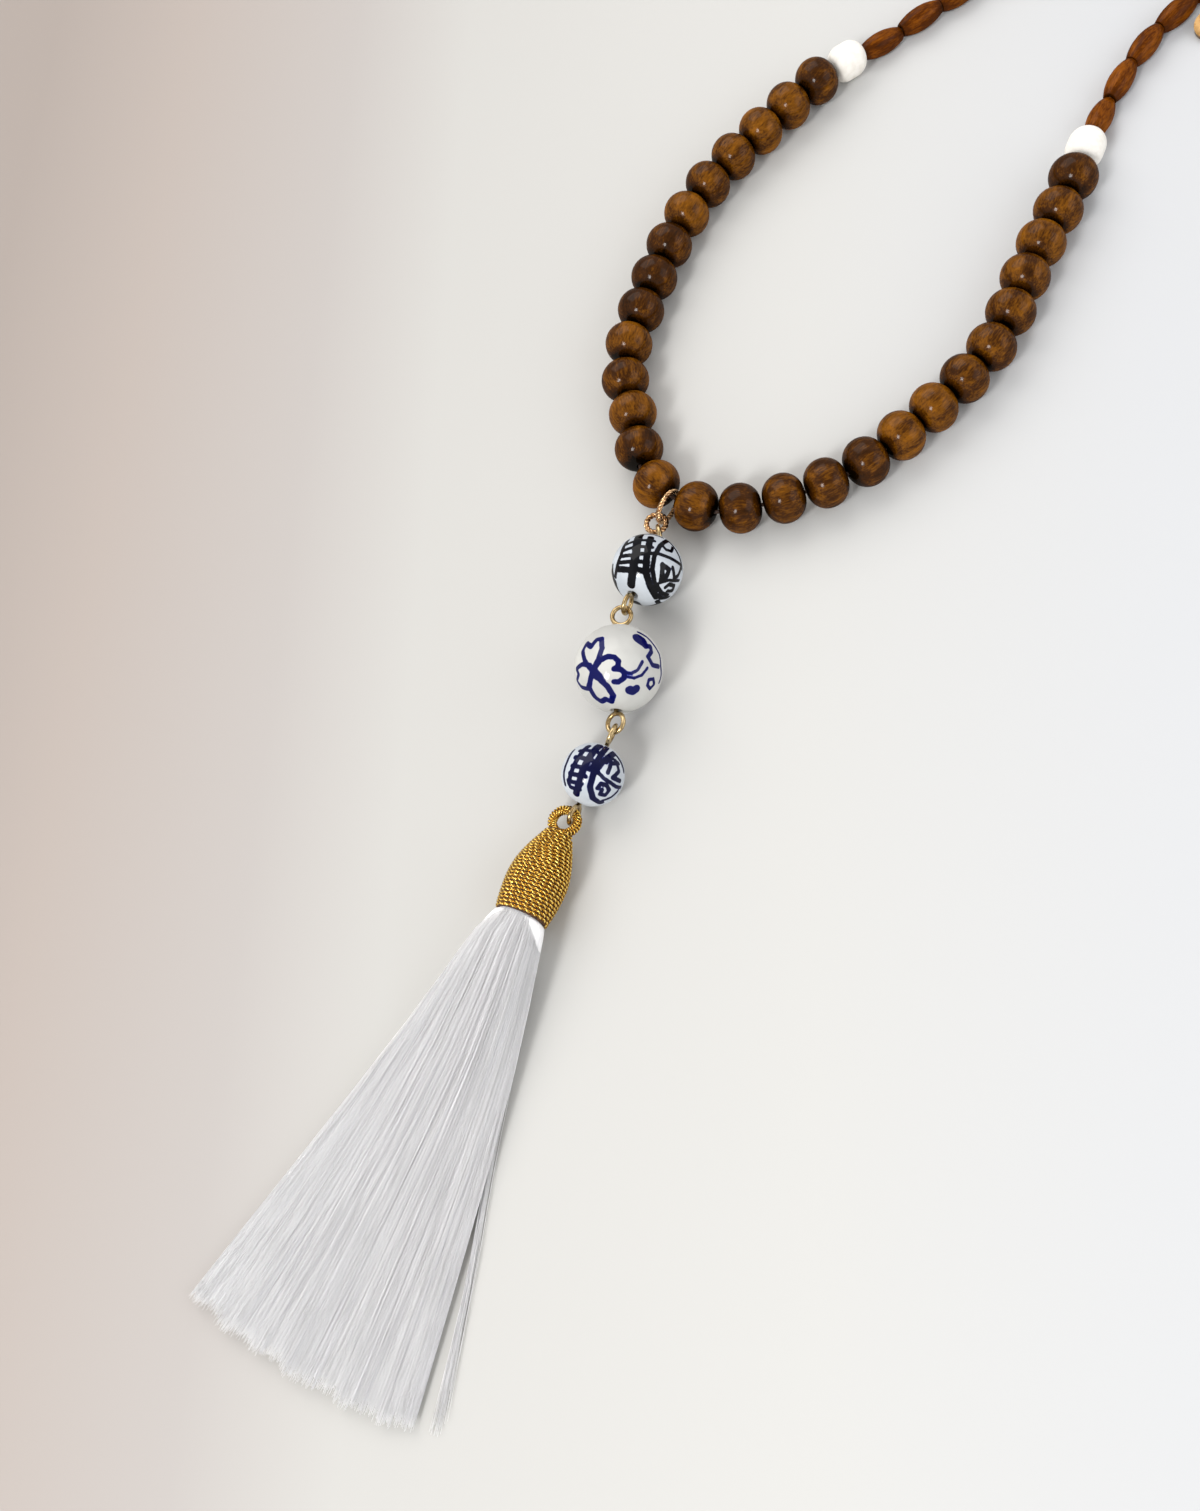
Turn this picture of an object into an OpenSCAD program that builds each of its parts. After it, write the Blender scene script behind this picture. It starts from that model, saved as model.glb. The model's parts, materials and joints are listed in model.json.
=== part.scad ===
// Tassel necklace of wooden beads, lying on a flat surface.
// A closed string of beads carries a pendant row of three porcelain beads,
// which ends in a silky tassel with a gold wound head.
// Units are millimetres, +Z is up and the surface is Z = 0.

/* [Round wooden beads] */
// Diameter of a round bead
wood_d = 10; // [8:0.5:12]
// Length of a round bead along the thread
wood_len = 8.4; // [7.6:0.1:9]
// Round beads on each side of the pendant
wood_count = 14; // [12:1:14]

/* [White beads] */
// Diameter of the white bead above the round ones
white_d = 7.8; // [6:0.2:9]
// Length of the white bead along the thread
white_len = 8; // [6:0.2:9]
// Corner radius of the white bead
white_corner = 3; // [2.4:0.2:3]

/* [Oval wooden beads] */
// Diameter of an oval bead at its middle
oval_d = 5; // [4:0.2:6]
// Diameter of an oval bead at its blunt ends
oval_end_d = 2.9; // [2.6:0.1:3.4]
// Length of an oval bead
oval_len = 10; // [8:0.5:12]
// Oval beads on each side
oval_count = 9; // [7:1:10]

/* [Stringing] */
// Diameter of the stringing thread
thread_d = 0.8; // [0.6:0.1:1]
// Gap all round between the thread and a bead's bore
bore_clearance = 0.35; // [0.2:0.05:0.4]
// Gap between two beads on a straight run
bead_gap = 0.14; // [0.1:0.02:0.3]
// Gap between two pieces that hook through each other
hook_gap = 0.15; // [0.1:0.01:0.2]
// Bare thread between the last bead and the thread's loop
bare_thread = 2; // [1.6:0.1:3]

/* [Jump rings] */
// Outer diameter of the ring round the thread
upper_ring_d = 7.6; // [7:0.2:8.4]
// Outer diameter of the ring below it
lower_ring_d = 5; // [4.8:0.2:5.4]
// Wire thickness of both twisted rings
ring_wire = 1; // [0.8:0.1:1.1]

/* [Porcelain beads] */
// Diameter of the top porcelain bead
porcelain_top_d = 14; // [12:0.5:15]
// Diameter of the middle porcelain bead
porcelain_middle_d = 17; // [15:0.5:18]
// Diameter of the bottom porcelain bead
porcelain_bottom_d = 12; // [11:0.5:14]
// Gap all round between an eye pin and a porcelain bead's bore
pin_clearance = 0.6; // [0.4:0.1:0.8]
// Wire thickness of the eye pins
pin_wire = 0.9; // [0.8:0.1:1]
// Outer diameter of an eye
eye_d = 4.6; // [4.4:0.1:5]
// Length of bare wire between a bead and its eye
eye_neck = 0.1; // [0.1:0.1:1]
// Length of that wire at the top pin's upper eye, which is bent aside
bent_neck = 0.4; // [0.4:0.1:1]
// Height between two hooked eyes
eye_drop = 0.4; // [0.2:0.1:0.6]

/* [Tassel head] */
// Length of the wound head
head_len = 17.5; // [14:0.5:20]
// Diameter of the head under its loop
head_top_d = 5.4; // [5:0.2:6]
// Largest diameter of the head
head_wide_d = 11.8; // [10.5:0.2:13]
// Diameter of the head at its mouth
head_mouth_d = 10.4; // [9.6:0.2:11]
// Spacing of the wound rows
row_pitch = 0.7; // [0.6:0.02:0.8]
// Thickness of the wound cord loop
loop_cord = 1.8; // [1.4:0.1:1.8]
// Diameter of the hole in the cord loop
loop_hole_d = 3; // [2.8:0.1:3.6]
// Depth of the socket that holds the fringe
socket_depth = 6; // [4:0.5:8]
// Wall of the head round the socket
head_wall = 0.9; // [0.7:0.1:1.1]
// Gap round the fringe in its socket
socket_gap = 0.15; // [0.1:0.05:0.3]

/* [Tassel fringe] */
// Length of the fringe below the head
fringe_len = 87; // [70:1:100]
// Width of the fan at its cut end
fringe_width = 48; // [36:1:54]
// Thickness of the fan at its cut end
fringe_tip_thick = 2.4; // [2:0.1:3.5]
// Locks across the fan
lock_count = 13; // [9:1:17]
// Thickness of the loose wisp beside the fan
wisp_thick = 1.6; // [1.2:0.1:2]

/* [Clasp and extender] */
// Distance between the two holes of the clasp
clasp_pitch = 9; // [8:0.5:12]
// Thickness of the clasp
clasp_thick = 1.6; // [1.2:0.1:1.8]
// Hole at the hook end of the clasp
clasp_hook_d = 4; // [3.6:0.1:4.4]
// Hole at the small end of the clasp
clasp_eye_d = 2.8; // [2.6:0.1:3.2]
// Rim round both holes
clasp_rim = 1.1; // [0.9:0.1:1.2]
// Outer diameter of the end rings
end_ring_d = 6; // [5.8:0.1:6.6]
// Wire of the end rings
end_ring_wire = 0.8; // [0.7:0.05:0.9]
// Hole in the thread's end loops
thread_loop_hole = 1.6; // [1.4:0.1:2]
// Length of a chain link
link_len = 6; // [5:0.1:6.5]
// Width of a chain link
link_w = 4; // [3.6:0.1:4.2]
// Wire of a chain link
link_wire = 0.7; // [0.6:0.05:0.8]
// Gap between two links
link_gap = 0.25; // [0.15:0.01:0.3]
// Links in the extender chain
link_count = 19; // [16:1:20]
// Diameter of the end drop
drop_d = 7; // [6:0.5:9]
// Thickness of the end drop
drop_thick = 1; // [0.8:0.1:1.2]
// Hole in the end drop
drop_hole_d = 1.8; // [1.6:0.1:2.2]
// Rim between that hole and the drop's edge
drop_rim = 1; // [0.8:0.1:1.2]

/* [Hidden] */
$fn = 48;

// Gap between the closing pieces and the surface
floor_gap = 0.05;

// Where the middle of the string lies, between its two lowest beads
string_middle = [-8.2, -19.6];

// Route of the string, counted from its middle: up the left side, over the
// clasp and down the right side. It is scaled to the length that it carries.
ROUTE = [
    [0, 0], [-9, 2], [-16.5, 11.5], [-26.5, 21.5], [-31, 36.5], [-34.5, 54],
    [-35, 71], [-31, 89], [-25.5, 108], [-17, 126.5], [-9.5, 141.5], [-4.5, 157],
    [-1.5, 173], [0, 187], [4, 196], [12, 200], [20, 201.5], [28, 203],
    [35, 203.5], [40.5, 201], [44.5, 194], [45.5, 184], [43.5, 172], [39, 159.5],
    [34, 147], [32, 132], [33, 114], [36, 96], [37.5, 76.5], [40, 57.5],
    [36, 39], [29, 20.5], [17, 6.5], [6, -0.6]
];
route_steps = 8;

// Headings of the pendant row in degrees: 0 is along +X, -90 is straight down the row
lower_ring_heading = -93;
top_eye_heading = -46;
top_pin_heading = -80;
upper_joint_heading = -86;
middle_pin_heading = -61;
lower_joint_heading = -78;
bottom_pin_heading = -86;
loop_heading = -110;
head_heading = -79.5;
fan_heading = -85;

// The middle pin leans down towards the tassel by this angle
middle_pin_lean = 3;
// Turn of each eye about its pin, 0 lying flat and 90 standing
top_eye_turns = [90, 90];
middle_eye_turns = [0, 25];
bottom_eye_turns = [105, 90];
// Slack in the two lower joints
lower_joint_slack = 0.27;
loop_slack = 0.5;
// Height of the cord loop above the centre of the eye that holds it
loop_lift = 0.15;

// Turns of the chain's links, from straight out of its ring to the drop's
CHAIN_TURNS = [0, -30, -63, -96, -129, -160, -184, -178, -173, -179, -185, -190, -195, -198, -202, -204];

// Where the head is widest, as a share of its length
head_widest_at = 0.62;

// Fringe from its mouth to its cut end. Columns: share of the length, share of
// the drop to the surface, share of the way from round bundle to flat fan,
// share of the head's wall that the bundle swells by once it is outside
FAN_SECTIONS = [
    [0.000, 0.00, 0.00, 0.0],
    [0.025, 0.08, 0.04, 0.7],
    [0.080, 0.32, 0.14, 0.9],
    [0.170, 0.68, 0.34, 1.0],
    [0.300, 0.93, 0.56, 1.0],
    [0.480, 1.00, 0.76, 1.0],
    [0.720, 1.00, 0.92, 1.0],
    [0.900, 1.00, 0.98, 1.0],
    [1.000, 1.00, 1.00, 1.0]
];
// Points across one lock, and depth of the grooves between locks at the cut end
lock_points = 4;
lock_groove = 0.42;
// The locks' ends stop short by these shares of the length, in turn
LOCK_SHORT = [0.014, 0.034, 0.004, 0.024, 0.010, 0.030, 0.000];
// The fan opens a little faster near the head
spread_power = 0.9;
// Angle between the fan's right edge and the loose wisp, and the wisp's sides
wisp_angle = 3.6;
wisp_sides = 8;
thread_sides = 8;

// Small helpers
function heading_dir(h) = [cos(h), sin(h), 0];
function flat_heading(p, q) = atan2(q.y - p.y, q.x - p.x);
function mix(a, b, t) = a + (b - a) * t;
function at_height(p, z) = [p.x, p.y, z];

// The route as a closed smooth curve, looked up by the distance along it
function spline_point(a, b, c, d, t) =
    0.5 * (2 * b + (c - a) * t + (2 * a - 5 * b + 4 * c - d) * t * t + (3 * b - a - 3 * c + d) * t * t * t);
function route_knot(i) = ROUTE[(i + len(ROUTE)) % len(ROUTE)];
samples = [
    for (i = [0 : len(ROUTE) * route_steps])
        let (k = floor(i / route_steps))
        spline_point(route_knot(k - 1), route_knot(k), route_knot(k + 1), route_knot(k + 2), i / route_steps - k)
];
last_sample = len(samples) - 1;
distances = [
    for (i = 0, s = 0; i <= last_sample; s = s + (i < last_sample ? norm(samples[i + 1] - samples[i]) : 0), i = i + 1) s
];
x_table = [for (i = [0 : last_sample]) [distances[i], samples[i].x]];
y_table = [for (i = [0 : last_sample]) [distances[i], samples[i].y]];
route_len = distances[last_sample];
function drawn(s) =
    let (u = s < 0 ? s + route_len : s)
    [lookup(u, x_table), lookup(u, y_table)];

// Beads of one side, from the middle of the string to its end
bead_total = wood_count + 1 + oval_count;
function bead_value(i, wood, white, oval) = i < wood_count ? wood : i == wood_count ? white : oval;
function bead_length(i) = bead_value(i, wood_len, white_len, oval_len);
function bead_radius(i) = bead_value(i, wood_d, white_d, oval_d) / 2;
bore_d = thread_d + 2 * bore_clearance;

// Each bead rests on the surface. Beside a thicker one it tips, by as much as
// the thread's slack in both bores asks for, up to max_tip. A long straight
// bead that tips stands on its corner, so it lies a little higher.
bead_slack = 0.6 * bore_clearance;
max_tip = 0.75;
function rest_height(i) = bead_radius(i) + bead_value(i, 0, 0.17 * (white_len / 2 - white_corner), 0.02);
bead_heights = [
    for (i = 0, near = wood_d / 2, far = wood_d / 2; i < bead_total;
         i = i + 1,
         near = max(rest_height(i), far - 2 * bead_slack),
         far = max(2 * rest_height(i) - near, rest_height(i) - max_tip)) [near, far]
];
function bead_tip(i) = asin((bead_heights[i][0] - bead_heights[i][1]) / bead_length(i));

// Two beads in a bend meet on their rounded ends, so the gap at the thread
// widens. A bead's end is an arc of its corner radius about its rim radius.
function corner_radius(i) = bead_value(i, wood_len / 2, white_corner, 0);
function rim_radius(i) = bead_value(i, wood_d / 2 - wood_len / 2, white_d / 2 - white_corner, oval_end_d / 2);
turn_margin = 1.25;
function tip_room(i, half) =
    (corner_radius(i) + bead_gap / 2 + rim_radius(i) * sin(half)) / cos(half) - corner_radius(i);
function turn_at(side, s, before, after) =
    let (a = flat_heading(drawn(side * (s - before)), drawn(side * s)))
    let (b = flat_heading(drawn(side * s), drawn(side * (s + after))))
    abs((b - a + 900) % 360 - 180);
function gap_after(side, i, s) =
    i + 1 == bead_total ? bare_thread / 2 :
    let (flat_turn = turn_at(side, s, bead_length(i), bead_length(i + 1)))
    let (turn = turn_margin * norm([flat_turn, bead_tip(i + 1) - bead_tip(i)]))
    tip_room(i, turn / 2) + tip_room(i + 1, turn / 2);

// The first ring's wire lies in the middle gap, on the inside of the bend
middle_turn = turn_at(1, 0, wood_len, wood_len);
ring_gap = ring_wire + 3 * bead_gap + 2 * (ring_wire + thread_d / 2 + hook_gap) * sin(middle_turn);
function bead_starts(side) = [
    for (i = 0, s = ring_gap / 2; i <= bead_total;
         s = s + (i < bead_total ? bead_length(i) + gap_after(side, i, s + bead_length(i)) : 0), i = i + 1) s
];
left_starts = bead_starts(1);
right_starts = bead_starts(-1);

// Two rings hook through each other: distance of their centres, where the
// wire of the second one passes the first one's plane at the given height
function hooked(hole_d, other_d, other_wire, height) =
    let (play = hole_d / 2 - other_wire / 2 - hook_gap)
    sqrt(play * play - height * height) + (other_d - other_wire) / 2;

// What closes the string: thread loop, ring, clasp, ring, thread loop
thread_loop_d = thread_loop_hole + 2 * thread_d;
end_ring_hole = end_ring_d - 2 * end_ring_wire;
end_ring_z = end_ring_d / 2 + floor_gap;
clasp_sink = 0.4;
loop_to_ring = hooked(thread_loop_hole, end_ring_d, end_ring_wire, 0);
rim_reach = sqrt(pow(end_ring_hole / 2 - hook_gap, 2) - pow(clasp_thick / 2 + clasp_sink, 2));
ring_to_eye = rim_reach + clasp_eye_d / 2;
ring_to_hook = rim_reach + clasp_hook_d / 2;
loop_reach = bare_thread / 2 + thread_loop_d / 2;
left_end = left_starts[bead_total];
right_end = right_starts[bead_total];
closure_len = 2 * (loop_reach + loop_to_ring) + ring_to_eye + clasp_pitch + ring_to_hook;
string_len = left_end + right_end + closure_len;
route_scale = string_len / route_len;
function on_string(s, z) = at_height(string_middle + route_scale * drawn(s / route_scale), z);

function starts_of(side) = side > 0 ? left_starts : right_starts;
function bead_near_end(side, i) = on_string(side * starts_of(side)[i], bead_heights[i][0]);
function bead_far_end(side, i) = on_string(side * (starts_of(side)[i] + bead_length(i)), bead_heights[i][1]);

// The closing pieces lie on the straight line from the left end to the right one
left_end_at = on_string(left_end, end_ring_z);
right_end_at = on_string(-right_end, end_ring_z);
closure_heading = flat_heading(left_end_at, right_end_at);
function on_closure(s, z) =
    at_height((left_end_at + right_end_at) / 2 + (s - closure_len / 2) * heading_dir(closure_heading), z);
left_loop = on_closure(loop_reach, end_ring_z);
left_ring = on_closure(loop_reach + loop_to_ring, end_ring_z);
clasp_eye = on_closure(loop_reach + loop_to_ring + ring_to_eye, end_ring_z - clasp_sink);
clasp_hook = on_closure(closure_len - loop_reach - loop_to_ring - ring_to_hook, end_ring_z - clasp_sink);
right_ring = on_closure(closure_len - loop_reach - loop_to_ring, end_ring_z);
right_loop = on_closure(closure_len - loop_reach, end_ring_z);

// The chain's first link holds the lower half of the right ring, away from the
// clasp; the next links turn by 90 degrees each, and a little more, so that
// the last one stands
link_mid_w = link_w - link_wire;
link_hole_len = link_len - 2 * link_wire;
link_pitch = link_hole_len - link_gap;
first_link_roll = 45;
chain_drift = ((link_count % 2 == 1) ? 45 : -45) / (link_count - 1);
function link_roll(k) = first_link_roll + (90 + chain_drift) * k;
function link_height(k) = floor_gap + link_wire / 2 + link_mid_w / 2 * max(abs(sin(link_roll(k))), abs(cos(link_roll(k))));
function link_heading(k) = closure_heading + 90 + CHAIN_TURNS[min(k, len(CHAIN_TURNS) - 1)];
link_offset = (end_ring_d / 2 - link_wire / 2) / sin(first_link_roll) - link_mid_w / 2;
wire_offset = (end_ring_d - end_ring_wire) / 2 - link_offset;
wire_play = link_w / 2 - link_wire - end_ring_wire / 2 - hook_gap;
first_link_at =
    right_ring
    + link_offset * cos(first_link_roll) * heading_dir(closure_heading)
    + ((link_len - link_w) / 2 + sqrt(wire_play * wire_play - wire_offset * wire_offset)) * heading_dir(link_heading(0))
    + [0, 0, -link_offset * sin(first_link_roll)];
link_places = [
    for (k = 0, p = first_link_at; k < link_count;
         k = k + 1,
         p = at_height(
             p + link_pitch / 2 * (heading_dir(link_heading(k - 1)) + heading_dir(link_heading(k))),
             link_height(k))) p
];
last_link = link_places[link_count - 1];
last_heading = link_heading(link_count - 1);
drop_reach = drop_d - drop_rim - drop_hole_d / 2;
drop_tilt = asin((last_link.z - drop_thick / 2 - floor_gap) / drop_reach);
drop_rim_half = drop_thick / 2 * cos(drop_tilt) + drop_rim * sin(drop_tilt);
link_hole_r = link_w / 2 - link_wire;
drop_hole_at = last_link + heading_dir(last_heading) * (
    (link_len - link_w) / 2 + sqrt(pow(link_hole_r - link_gap, 2) - pow(drop_rim_half, 2)) + drop_hole_d / 2);

// Pendant row. A pin runs from its upper eye to its lower eye, along its
// heading and up by its rise; an eye may be bent aside where the wire leaves
// the bead.
stem_len = eye_neck + eye_d / 2;
eye_hole_d = eye_d - 2 * pin_wire;
function mouth_reach(d) = sqrt(d * d / 4 - pow(pin_wire / 2 + pin_clearance, 2));
function eye_reach(d) = mouth_reach(d) + stem_len;
function pin_axis(h, rise) = [cos(rise) * cos(h), cos(rise) * sin(h), sin(rise)];
function bent_axis(h, rise, bend) = cos(bend) * pin_axis(h, rise) - sin(bend) * heading_dir(h + 90);
function bent_stem(d, h, rise, bend) =
    mouth_reach(d) * pin_axis(h, rise) + (bent_neck + eye_d / 2) * bent_axis(h, rise, bend);

upper_joint_z = porcelain_middle_d / 2 + eye_reach(porcelain_middle_d) * sin(middle_pin_lean);
lower_joint_z = porcelain_middle_d / 2 - eye_reach(porcelain_middle_d) * sin(middle_pin_lean);
top_pin_rise = asin((upper_joint_z + eye_drop - porcelain_top_d / 2) / eye_reach(porcelain_top_d));
bottom_pin_rise = -asin((lower_joint_z - eye_drop - porcelain_bottom_d / 2) / eye_reach(porcelain_bottom_d));
top_eye_bend = top_pin_heading - top_eye_heading;

// The first ring halves the angle between the two lowest beads
left_axis = bead_far_end(1, 0) - bead_near_end(1, 0);
right_axis = bead_near_end(-1, 0) - bead_far_end(-1, 0);
middle_axis = left_axis / norm(left_axis) + right_axis / norm(right_axis);
upper_ring_heading = atan2(middle_axis.y, middle_axis.x) + 90;
upper_ring_at = (bead_near_end(1, 0) + bead_near_end(-1, 0)) / 2
    + (upper_ring_d / 2 - ring_wire - thread_d / 2 - hook_gap) * heading_dir(upper_ring_heading);

top_stem = bent_stem(porcelain_top_d, top_pin_heading, top_pin_rise, top_eye_bend);
top_eye_z = porcelain_top_d / 2 - top_stem.z;
lower_ring_z = (wood_d / 2 + top_eye_z) / 2;
lower_ring_at = at_height(
    upper_ring_at + heading_dir(lower_ring_heading)
        * hooked(upper_ring_d - 2 * ring_wire, lower_ring_d, ring_wire, wood_d / 2 - lower_ring_z),
    lower_ring_z);
top_eye_at = at_height(
    lower_ring_at + heading_dir(top_eye_heading) * hooked(eye_hole_d, lower_ring_d, ring_wire, lower_ring_z - top_eye_z),
    top_eye_z);
top_bead_at = top_eye_at + top_stem;

top_lower_eye_at = top_bead_at + eye_reach(porcelain_top_d) * pin_axis(top_pin_heading, top_pin_rise);
middle_stem = eye_reach(porcelain_middle_d) * pin_axis(middle_pin_heading, -middle_pin_lean);
middle_bead_at = at_height(
    top_lower_eye_at + heading_dir(upper_joint_heading) * hooked(eye_hole_d, eye_d, pin_wire, eye_drop) + middle_stem,
    porcelain_middle_d / 2);

middle_lower_eye_at = middle_bead_at + middle_stem;
bottom_stem = eye_reach(porcelain_bottom_d) * pin_axis(bottom_pin_heading, bottom_pin_rise);
bottom_bead_at = at_height(
    middle_lower_eye_at + bottom_stem
        + heading_dir(lower_joint_heading) * (hooked(eye_hole_d, eye_d, pin_wire, eye_drop) - lower_joint_slack),
    porcelain_bottom_d / 2);
bottom_lower_eye_at = bottom_bead_at + bottom_stem;

// Tassel: the loop hangs on that eye, and the head rests on its widest rows
loop_mid_r = (loop_hole_d + loop_cord) / 2;
loop_at = bottom_lower_eye_at + [0, 0, loop_lift]
    + heading_dir(loop_heading) * (hooked(eye_hole_d, loop_hole_d + 2 * loop_cord, loop_cord, loop_lift) - loop_slack);
head_rise = asin((head_wide_d / 2 + floor_gap - loop_at.z) / (loop_mid_r + head_widest_at * head_len));
mouth_at = loop_at + (loop_mid_r + head_len) * pin_axis(head_heading, head_rise);

// Fringe
root_r = head_mouth_d / 2 - head_wall - socket_gap;
fan_root_w = 2 * (root_r + head_wall);
fan_half_angle = asin((fringe_width - fan_root_w) / 2 / fringe_len);
lock_steps = lock_count * lock_points;

module between(p, q) {
    d = q - p;
    translate((p + q) / 2) rotate([0, 90 - asin(d.z / norm(d)), flat_heading(p, q)]) children();
}

module wire_ring(outer_d, wire) {
    rotate_extrude() translate([(outer_d - wire) / 2, 0]) circle(d = wire);
}

// A ring that stands upright, with the given heading in its plane
module standing_ring(outer_d, wire, heading) {
    rotate([90, 0, heading]) wire_ring(outer_d, wire);
}

// Profile of a turned bead with rounded corners, over its axis
module rounded_profile(d, length, corner) {
    intersection() {
        translate([0, -length / 2]) square([d / 2, length]);
        union() {
            for (y = [-1, 1]) translate([d / 2 - corner, y * (length / 2 - corner)]) circle(r = corner);
            translate([0, -length / 2]) square([d / 2 - corner, length]);
            if (length > 2 * corner) translate([0, corner - length / 2]) square([d / 2, length - 2 * corner]);
        }
    }
}

module drilled(bore) {
    difference() {
        rotate_extrude() children();
        cylinder(d = bore, h = 4 * oval_len, center = true);
    }
}

module wood_bead(side, i) {
    color("#6b3f17")
        between(bead_near_end(side, i), bead_far_end(side, i))
        drilled(bore_d) rounded_profile(wood_d, wood_len, wood_len / 2);
}

module white_bead(side) {
    color("#f1ece2")
        between(bead_near_end(side, wood_count), bead_far_end(side, wood_count))
        drilled(bore_d) rounded_profile(white_d, white_len, white_corner);
}

module oval_profile() {
    rise = (oval_d - oval_end_d) / 2;
    arc_r = (oval_len * oval_len / 4 + rise * rise) / (2 * rise);
    intersection() {
        translate([0, -oval_len / 2]) square([oval_d / 2, oval_len]);
        translate([oval_d / 2 - arc_r, 0]) circle(r = arc_r);
    }
}

module oval_beads(side) {
    color("#7a4a1c")
        for (i = [wood_count + 1 : bead_total - 1])
            between(bead_near_end(side, i), bead_far_end(side, i)) drilled(bore_d) oval_profile();
}

// The thread runs along every bead's axis and bends between two beads
function thread_end(side) = on_string(side * starts_of(side)[bead_total], bead_heights[bead_total - 1][1]);
function loop_entry(loop, from) = loop + heading_dir(flat_heading(loop, from)) * (thread_loop_hole + thread_d) / 2;
thread_path = concat(
    [loop_entry(left_loop, left_end_at), thread_end(1)],
    [for (i = [bead_total - 1 : -1 : 0]) each [bead_far_end(1, i), bead_near_end(1, i)]],
    [for (i = [0 : bead_total - 1]) each [bead_near_end(-1, i), bead_far_end(-1, i)]],
    [thread_end(-1), loop_entry(right_loop, right_end_at)]
);

// A tube round a path, mitred at each point, as rings of points
function path_heading(path, i) =
    flat_heading(path[max(i - 1, 0)], path[min(i + 1, len(path) - 1)]);
function tube_ring(p, heading, half_w, half_h, sides) = [
    for (j = [0 : sides - 1])
        let (a = 360 * (j + 0.5) / sides)
        p + half_w * cos(a) * heading_dir(heading - 90) + [0, 0, half_h * sin(a)]
];

// Skin of a row of rings with as many points each, closed by a cap at each end
function band_faces(rings, points) = [
    for (r = [0 : rings - 2], j = [0 : points - 1], half = [0, 1])
        let (a = r * points + j)
        let (b = r * points + (j + 1) % points)
        half == 0 ? [a, b, b + points] : [a, b + points, a + points]
];

module thread() {
    rings = [
        for (i = [0 : len(thread_path) - 1])
            tube_ring(thread_path[i], path_heading(thread_path, i), thread_d / 2, thread_d / 2, thread_sides)
    ];
    last = (len(rings) - 1) * thread_sides;
    color("#2e1c10") union() {
        polyhedron(
            points = [for (ring = rings, p = ring) p],
            faces = concat(
                band_faces(len(rings), thread_sides),
                [[for (j = [thread_sides - 1 : -1 : 0]) j], [for (j = [0 : thread_sides - 1]) last + j]]
            )
        );
        for (p = [left_loop, right_loop]) translate(p) wire_ring(thread_loop_d, thread_d);
    }
}

module jump_ring_upper() {
    color("#d3a06c") translate(upper_ring_at) standing_ring(upper_ring_d, ring_wire, upper_ring_heading);
}

module jump_ring_lower() {
    color("#d3a06c") translate(lower_ring_at) wire_ring(lower_ring_d, ring_wire);
}

module pin_frame(centre, heading, rise) {
    translate(centre) rotate([0, 90 - rise, heading]) children();
}

// One eye on its stem; a bent stem leaves the bead's mouth aside by an angle
module pin_eye(mouth, bend, turn) {
    neck = bend == 0 ? eye_neck : bent_neck;
    translate([0, 0, mouth]) {
        if (bend != 0) sphere(d = pin_wire);
        rotate([bend, 0, 0]) {
            if (bend != 0) cylinder(d = pin_wire, h = neck + pin_wire / 2);
            translate([0, 0, neck + eye_d / 2]) rotate([0, 90, turn]) wire_ring(eye_d, pin_wire);
        }
    }
}

module eye_pin(bead_d, bends, turns) {
    mouth = mouth_reach(bead_d);
    ends = [for (bend = bends) mouth + (bend == 0 ? eye_neck + pin_wire / 2 : 0)];
    color("#b89a5a") union() {
        translate([0, 0, -ends[0]]) cylinder(d = pin_wire, h = ends[0] + ends[1]);
        pin_eye(mouth, bends[1], turns[1]);
        rotate([180, 0, 0]) pin_eye(mouth, bends[0], turns[0]);
    }
}

module porcelain_bead(bead_d) {
    color("#dfe6ec") difference() {
        sphere(d = bead_d);
        cylinder(d = pin_wire + 2 * pin_clearance, h = 2 * bead_d, center = true);
    }
}

module top_frame() pin_frame(top_bead_at, top_pin_heading, top_pin_rise) children();
module middle_frame() pin_frame(middle_bead_at, middle_pin_heading, -middle_pin_lean) children();
module bottom_frame() pin_frame(bottom_bead_at, bottom_pin_heading, bottom_pin_rise) children();

module porcelain_bead_top() top_frame() porcelain_bead(porcelain_top_d);
module porcelain_bead_middle() middle_frame() porcelain_bead(porcelain_middle_d);
module porcelain_bead_bottom() bottom_frame() porcelain_bead(porcelain_bottom_d);
module eye_pin_top() top_frame() eye_pin(porcelain_top_d, [top_eye_bend, 0], top_eye_turns);
module eye_pin_middle() middle_frame() eye_pin(porcelain_middle_d, [0, 0], middle_eye_turns);
module eye_pin_bottom() bottom_frame() eye_pin(porcelain_bottom_d, [0, 0], bottom_eye_turns);

// Radius of the wound head: a rounded shoulder, then a slight draw-in to the mouth
function head_radius(t) =
    t < head_widest_at
        ? mix(head_top_d, head_wide_d, pow(sin(90 * t / head_widest_at), 1.25)) / 2
        : mix(head_wide_d, head_mouth_d, pow((t - head_widest_at) / (1 - head_widest_at), 2)) / 2;

module head_rows() {
    rows = round(head_len / row_pitch);
    pitch = head_len / rows;
    centres = [for (i = [0 : rows - 1]) [head_radius((i + 0.5) / rows) - pitch / 2, (i + 0.5) * pitch]];
    polygon(concat([[0, 0], [centres[0].x, 0]], centres, [[centres[rows - 1].x, head_len], [0, head_len]]));
    for (c = centres) translate(c) circle(d = pitch * 1.06, $fn = 16);
}

module tassel_head() {
    color("#c4922c") translate(loop_at) rotate([0, 90 - head_rise, head_heading]) union() {
        rotate([0, 90, 0]) wire_ring(loop_hole_d + 2 * loop_cord, loop_cord);
        translate([0, 0, loop_mid_r]) difference() {
            rotate_extrude() intersection() {
                head_rows();
                square([head_wide_d, head_len]);
            }
            translate([0, 0, head_len - socket_depth]) cylinder(r = root_r + socket_gap, h = head_wide_d);
        }
    }
}

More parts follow.
